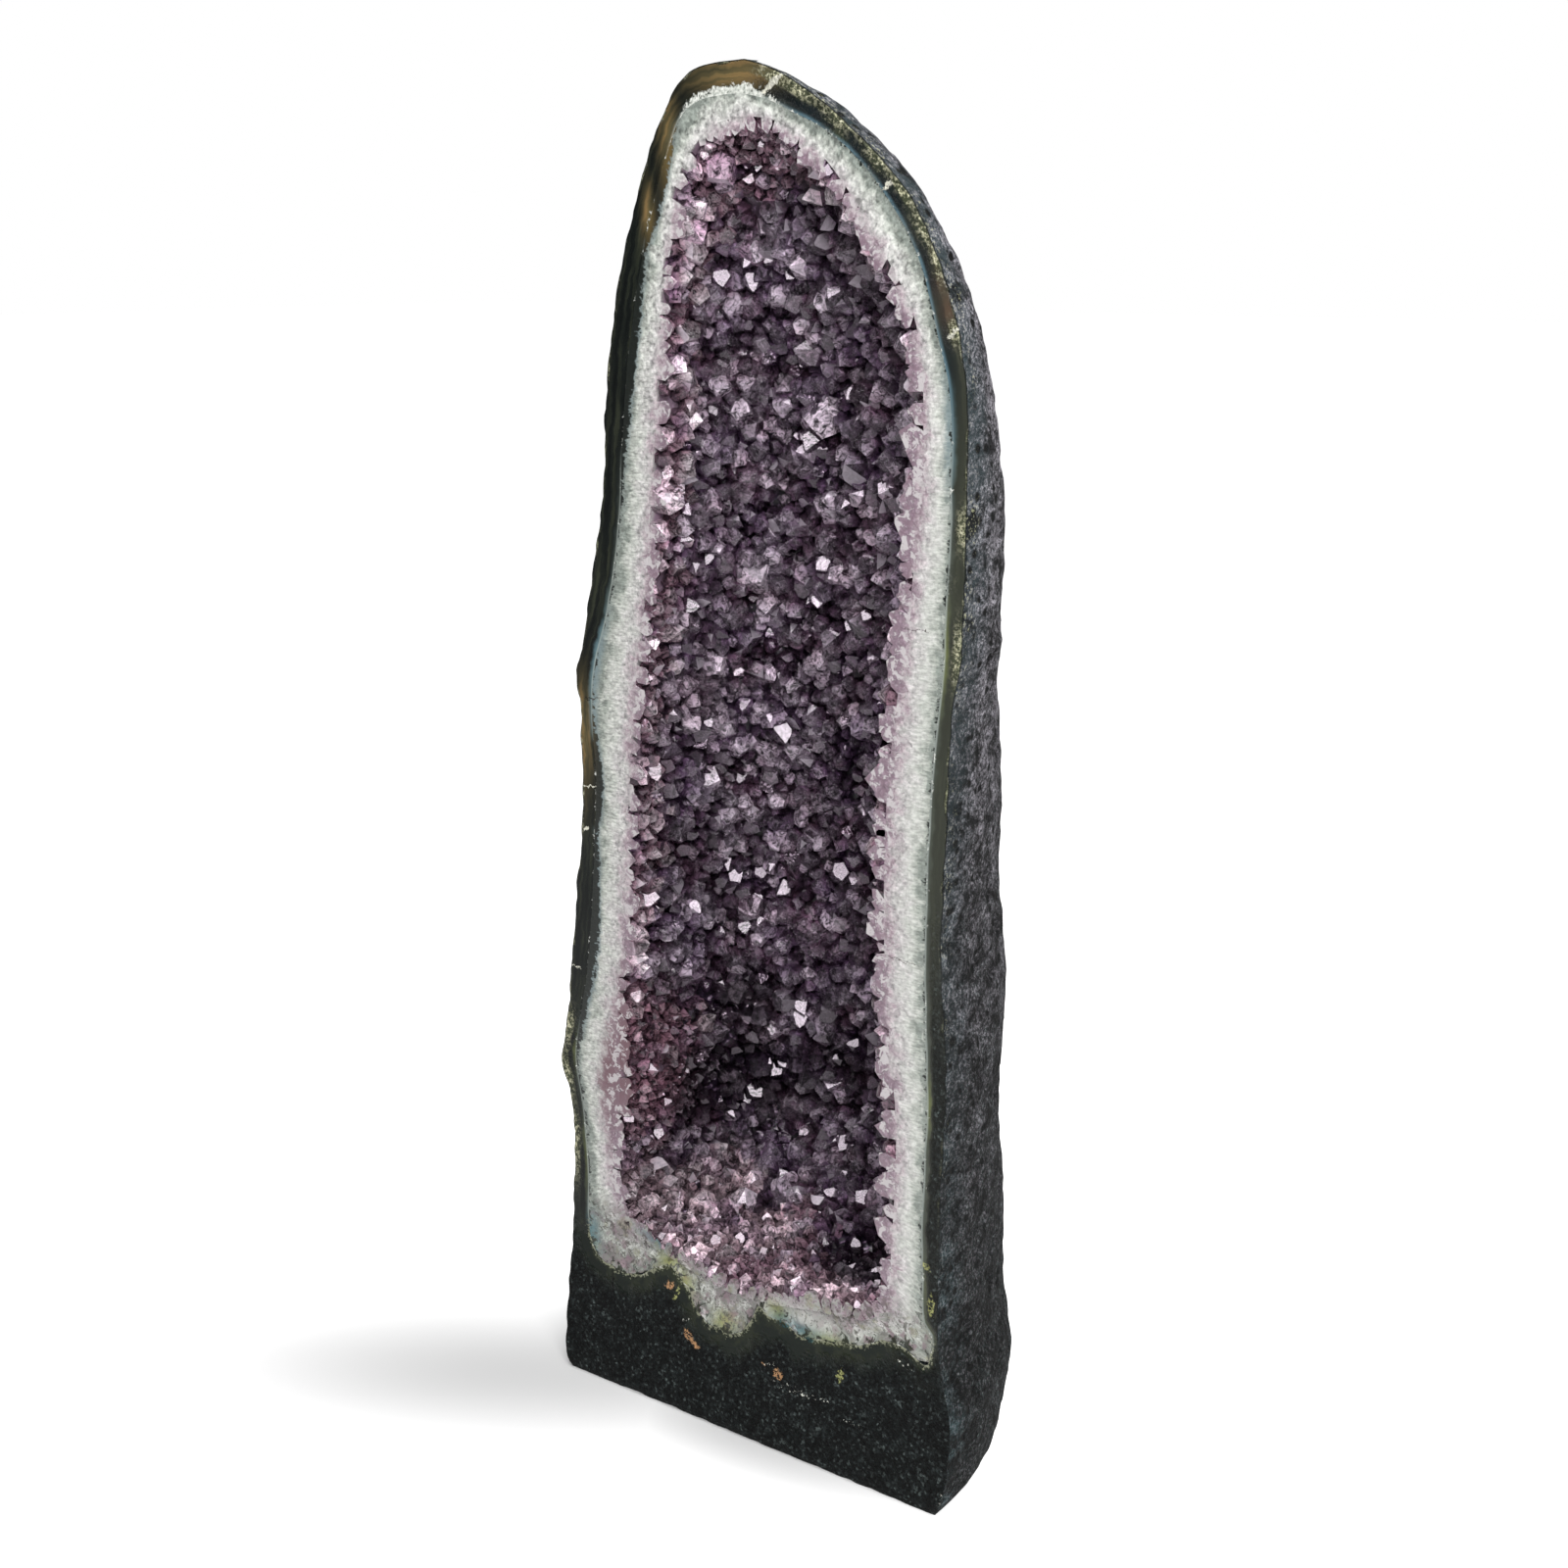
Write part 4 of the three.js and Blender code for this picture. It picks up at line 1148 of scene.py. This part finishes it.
def sawn_quartz():
    """White quartz, sawn and polished: sugary fibres stand across its band, and it turns lilac towards the
    hollow. Off the face the same quartz is the dark mottled ground between the crystals' roots."""
    material, tree, shader, place = new_material("sawn_white_quartz")
    band, share, along, polished, bluish, mossy, agated, golden, warm, snowy, milky = read(
        tree, "band share along_rim polished bluish mossy agated golden warm snowy milky")
    x, y, z = add(tree, "SeparateXYZ", {0: place}).outputs
    across = add(tree, "CombineXYZ", {0: product(tree, along, 0.75), 1: product(tree, band, 0.17)})
    # Fibres 1.5 mm wide and 6 mm long, sugar grains of 2 mm, clumps of 5 mm, patches of 9 mm, lobes of 16 mm,
    # and the ground's grains of 4 mm.
    fibre, sugar, clump, patch, lobe, ground = each(
        tree, "TexNoise", "Fac", NOISE, (across, 1.0, 3.0, 0.65), (place, 420.0, 3.0, 0.75),
        (place, 210.0, 4.0, 0.65, 0.6), (place, 110.0, 3.0), (place, 62.0, 5.0, 0.65),
        (place, 260.0, 3.0, 0.6))
    # Crystal ends of 8 mm, and the cracks between them.
    ends = add(tree, "TexVoronoi", {"Vector": place, "Scale": 125.0}).outputs["Color"]
    end = add(tree, "SeparateColor", {0: ends})
    crack = add(tree, "TexVoronoi", {"Vector": place, "Scale": 125.0}, feature="DISTANCE_TO_EDGE")
    top, high, leftwards = amounts(tree, (z, 0.6, 0.74), (z, 0.58, 0.7), (x, 0.02, -0.02))
    uneven = total_of(tree, share, (fibre, 0.3), (end, 0.16), (patch, 0.7), (top, -0.16), (leftwards, -0.12),
                      (snowy, 0.35), -0.62)
    zones = add(tree, "ValToRGB", {0: product(tree, uneven, 0.7)}, stops=(
        (0, "#8b928b"), (0.06, "#a9aea6"), (0.2, "#c8cac4"), (0.4, "#c8c5c4"), (0.53, "#b8abb0"),
        (0.7, "#8f7c88")))
    coarse = amounts(tree, (uneven, 0.35, 0.8))[0]
    strands = add(tree, "Mix", {
        0: worked(tree, "MAXIMUM", coarse, product(tree, high, 0.85)), 2: fibre, 3: clump})
    grain = total_of(tree, (strands, 1.1), (sugar, 0.9))
    shade, = each(tree, "MapRange", 0, RANGE, (grain, 0.77, 1.23, 0.3, 1.38))
    sugary = worked(tree, "MINIMUM", total_of(tree, (coarse, 0.8), (leftwards, 0.2), (high, 0.4), 0.5), 1.0)
    inner, seams, dusty, white, sprinkled, outer = amounts(
        tree, (uneven, 0.55, 0.85), (crack, 0.1, 0.0), (clump, 0.55, 0.6), (clump, 0.49, 0.43),
        (sugar, 0.55, 0.62), (total_of(tree, band, (clump, 8.0), -4.0), 7.0, 1.0))
    low, near, green, grey, plum, lobes = amounts(
        tree, (z, 0.135, 0.112), (y, behind_face(45), behind_face(4)), (patch, 0.56, 0.66), (clump, 0.5, 0.4),
        (patch, 0.46, 0.38), (lobe, 0.49, 0.56))
    # Along the foot, the dark agate creeps 3 mm into the quartz. On the left it reaches 6 mm in, with a
    # toothed edge that is grey-blue inside.
    reach = total_of(tree, (agated, 7.0), (clump, 12.0), (fibre, 8.0), (snowy, -9.0), (band, -1.0), -9.8)
    creep, agate, glow = amounts(
        tree, (total_of(tree, (clump, 44.0), (band, -1.0)), 21.6, 23.4), (reach, -0.4, 1.0),
        (reach, -3.2, -0.2))
    sawn = layered(
        tree, shaded(tree, zones, shade, sugary),
        (inner, seams, 0.45, "#6a5463"),
        (inner, dusty, 0.7, "#75606b"),
        (inner, white, 0.8, "#cdc8c9"),
        (outer, bluish, 0.75, "#70848a"),
        (coarse, warm, worked(tree, "SUBTRACT", 1.1, white), 0.9, "#6e5058"),
        (glow, agated, 0.8, "#77868a"),
        (agate, "#141915"),
        (agate, golden, 0.8, "#6d5c36"),
        (low, white, 0.5, "#c4c3bd"),
        (low, lobes, 0.75, "#7c7074"),
        (low, grey, 0.7, "#74776f"),
        (low, plum, 0.7, "#846c76"),
        (low, milky, 0.75, "#babbb6"),
        (low, bluish, 0.9, "#46696f"),
        (low, mossy, 0.8, "#8d9150"),
        (low, green, 0.4, "#86865f"),
        (low, dusty, worked(tree, "SUBTRACT", 1.0, milky), 0.8, "#4a473f"),
        (low, sprinkled, 0.75, "#4c4a44"),
        (low, creep, 0.9, "#262a20"),
        (marked(tree, place, DARK_CRACKS), "#3c3230"))
    roots = add(tree, "ValToRGB", {0: ground}, stops=(
        (0.42, "#0b080e"), (0.55, "#2e2234"), (0.62, "#8d7490"), (0.7, "#f0e4ee")))
    bump = add(tree, "Bump", {"Height": grain, "Strength": 0.35, "Distance": 0.0008})
    set_inputs(tree, shader, {
        "Base Color": layered(tree, roots, (near, 0.75, "#a98fa2"), (polished, sawn)),
        "Roughness": 0.28, "IOR": 1.544, "Normal": bump})
    return material


def natural_amethyst(name, clearness, root, body, tip):
    """Amethyst points as they grew: glassy faces over clear or milky violet, with veils of fractures inside,
    frosted tips and stepped faces. Painted shade darkens their roots and pits, each face is made lighter or
    darker as a painted reflection, and painted glints light slivers and some faces."""
    material, tree, shader, place = new_material(name)
    stand, tint, facet, rosy, dark, whitish, warm = read(tree, "stand tint facet rosy dark whitish warm")
    x = add(tree, "SeparateXYZ", {0: place})
    # Veils of 3 mm inside the crystals, rosy and violet patches 26 mm across, painted glints in slivers 1.5
    # mm long, and growth steps of 2 mm.
    veil, hue, glint_noise = each(
        tree, "TexNoise", "Fac", NOISE, (place, 300.0, 4.0, 0.7, 0.8), (place, 38.0, 2.0),
        (place, 620.0, 3.0, 0.8, 1.5))
    step = add(tree, "TexVoronoi", {"Vector": place, "Scale": 500.0}).outputs["Distance"]
    # Each face is made lighter or darker at random as a painted reflection; each crystal's tint and the veils
    # vary the tone.
    standing, *lights = each(
        tree, "MapRange", 0, RANGE, (stand, 0.0, 12.0), (facet, 0.0, 1.0, 0.34, 1.5),
        (product(tree, tint, tint), 0.0, 1.0, 0.46, 2.2), (veil, 0.38, 0.64, 0.1, 2.1))
    # The colour runs from root to tip with the height over the wall: the dark root colour is painted shade in
    # the gaps between the crystals.
    ramp = add(tree, "ValToRGB", {0: standing}, stops=((0, root), (0.45, body), (1, tip)))
    rosier, violet, frosted, painted_sliver_glint, lit, pale, leftwards = amounts(
        tree, (hue, 0.5, 0.64), (hue, 0.48, 0.36), (tint, 0.62, 0.95), (glint_noise, 0.6, 0.66),
        (stand, 3.0, 8.0), (facet, 0.84, 0.93), (x, -0.03, -0.08))
    colour = layered(
        tree, ramp,
        (rosier, 0.4, "#865f74"),
        (violet, 0.35, "#785a86"),
        (frosted, 0.6, "#d2c6cf"),
        (rosy, 0.7, "#96748d"),
        (whitish, 0.35, "#c6b2b6"),
        (warm, 0.6, "#835c68"))
    # Painted shade makes the crystals in the pits nearly black, and those on the left wall are a little
    # darker than the others.
    shadow = worked(tree, "MAXIMUM", product(tree, dark, 0.8), product(tree, leftwards, 0.2))
    # Painted glints: pale slivers and some whole faces, on crystals raised over the wall.
    colour = layered(
        tree, shaded(tree, colour, product(tree, *lights)),
        (painted_sliver_glint, lit, 0.6, "#e6dfe6"),
        (pale, lit, 0.7, "#d6ccd7"),
        (shadow, "#0d0a10"))
    bump = add(tree, "Bump", {"Height": step, "Strength": 0.16, "Distance": 0.0004})
    haze = add(tree, "VolumeAbsorption", {"Color": "#8a6a9c", "Density": 60.0})
    set_inputs(tree, tree.nodes["Material Output"], {"Volume": haze})
    set_inputs(tree, shader, {
        "Base Color": colour, "Roughness": 0.03, "Specular Tint": "#dcc8da", "Coat Weight": 0.55,
        "Coat Roughness": 0.03, "IOR": 1.544, "Transmission Weight": clearness, "Normal": bump})
    return material


def finish_piece(piece, materials, node):
    for material in materials:
        piece.data.materials.append(material)
    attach(piece, "root")
    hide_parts(node)


rock = rock_piece()
rock_materials = [natural_basalt(), sawn_face("polished_agate", 0.2), sawn_face("sawn_rough_basalt", 0.12)]
NATURAL, POLISHED, ROUGH = range(3)
finish_piece(rock, rock_materials, "geode_rock")
band = rock.data.attributes["band"].data
for face in rock.data.polygons:
    sawn = face.normal.y < -0.5 and face.center.y < behind_face(8)
    under = face.center.z < FOOT_TOP * MM and band[face.vertices[0]].value < -AGATE_UNDER
    face.material_index = (ROUGH if under else POLISHED) if sawn else NATURAL
quartz = sawn_quartz()
bed = quartz_bed()
finish_piece(bed, [quartz], "amethyst_crust")
# Root colours near black are painted shade between the crystals' feet.
clear = natural_amethyst("natural_clear_amethyst", 0.6, "#120d14", "#70566f", "#cdbdce")
milky = natural_amethyst("natural_milky_amethyst", 0.2, "#4a3643", "#9b7a88", "#e0d4da")
for points in amethyst_points(clear):
    milky_ones(points, milky)
    sawn_ends(points, quartz)
    finish_piece(points, [], "amethyst_crust")

# A pale floor that runs on past the view. To the eye it has a painted white glow, left out in painted soft
# shadows: where they lie, how far they are turned, and half their length and width, in metres.
PAINTED_FLOOR_SHADOWS = [((-0.17, -0.12, 0), 31, (0.45, 0.19, 1.0)), ((0.0, -0.08, 0), 0, (0.29, 0.1, 1.0))]
bpy.ops.mesh.primitive_plane_add(size=40)
floor = bpy.context.object
floor.name = "floor"
material, tree, shader, place = new_material("pale_floor")
reaches = []
for middle, turned, half_size in PAINTED_FLOOR_SHADOWS:
    local = add(tree, "Mapping", {
        "Vector": place, "Location": middle, "Rotation": (0, 0, math.radians(turned)), "Scale": half_size},
        vector_type="TEXTURE")
    reaches.append(add(tree, "VectorMath", {0: local}, operation="LENGTH").outputs["Value"])
out_of_painted_shadow = amounts(tree, (worked(tree, "MINIMUM", *reaches), 0.0, 1.0))[0]
seen = add(tree, "LightPath").outputs["Is Camera Ray"]
for_the_eye = add(tree, "MapRange", {"Value": seen, "To Min": 0.15, "To Max": 1.0})
set_inputs(tree, shader, {
    "Base Color": "#d8d8d8", "Roughness": 0.8, "Emission Color": "#ffffff",
    "Emission Strength": product(tree, out_of_painted_shadow, for_the_eye)})
floor.data.materials.append(material)

# The air is white to the eye, and lights the geode only a little.
world = bpy.data.worlds.new("studio")
bpy.context.scene.world = world
world.use_nodes = True
tree = world.node_tree
tree.nodes.clear()
seen = add(tree, "LightPath").outputs["Is Camera Ray"]
brightness = add(tree, "MapRange", {"Value": seen, "To Min": 0.12, "To Max": 1.0})
air = add(tree, "Background", {"Color": "#ffffff", "Strength": brightness})
add(tree, "OutputWorld", {"Surface": air})

# Soft square lights: place, what they are aimed at, width and power.
LIGHTS = {
    "key": ((1.2, -1.35, 1.55), (0, 0, 0.4), 1.0, 37),
    "top": ((0.1, -0.55, 2.2), (0, 0, 0.4), 1.05, 27),
    "right": ((1.6, 0.45, 1.2), (0, 0, 0.3), 1.05, 24),
}
for name, (place, aim, size, power) in LIGHTS.items():
    light = bpy.data.lights.new(name, "AREA")
    light.shape = "SQUARE"
    light.size = size
    light.energy = power
    lamp = in_scene(name, light)
    lamp.location = place
    lamp.rotation_euler = (Vector(aim) - Vector(place)).to_track_quat("-Z", "Y").to_euler()

# The photo's camera: its lens in mm, where it stands, and how far down and to the face's right in degrees.
LENS, SENSOR = 49.5, 36
CAMERA_PLACE = (0.7351, -1.0050, 0.7056)
CAMERA_DOWN, CAMERA_RIGHT = 14, 37.4
camera = in_scene("camera", bpy.data.cameras.new("camera"))
camera.data.lens = LENS
camera.data.sensor_width = SENSOR
camera.location = CAMERA_PLACE
camera.rotation_euler = (math.radians(90 - CAMERA_DOWN), 0, math.radians(CAMERA_RIGHT))
bpy.context.scene.camera = camera
bpy.context.scene.view_settings.view_transform = "Standard"
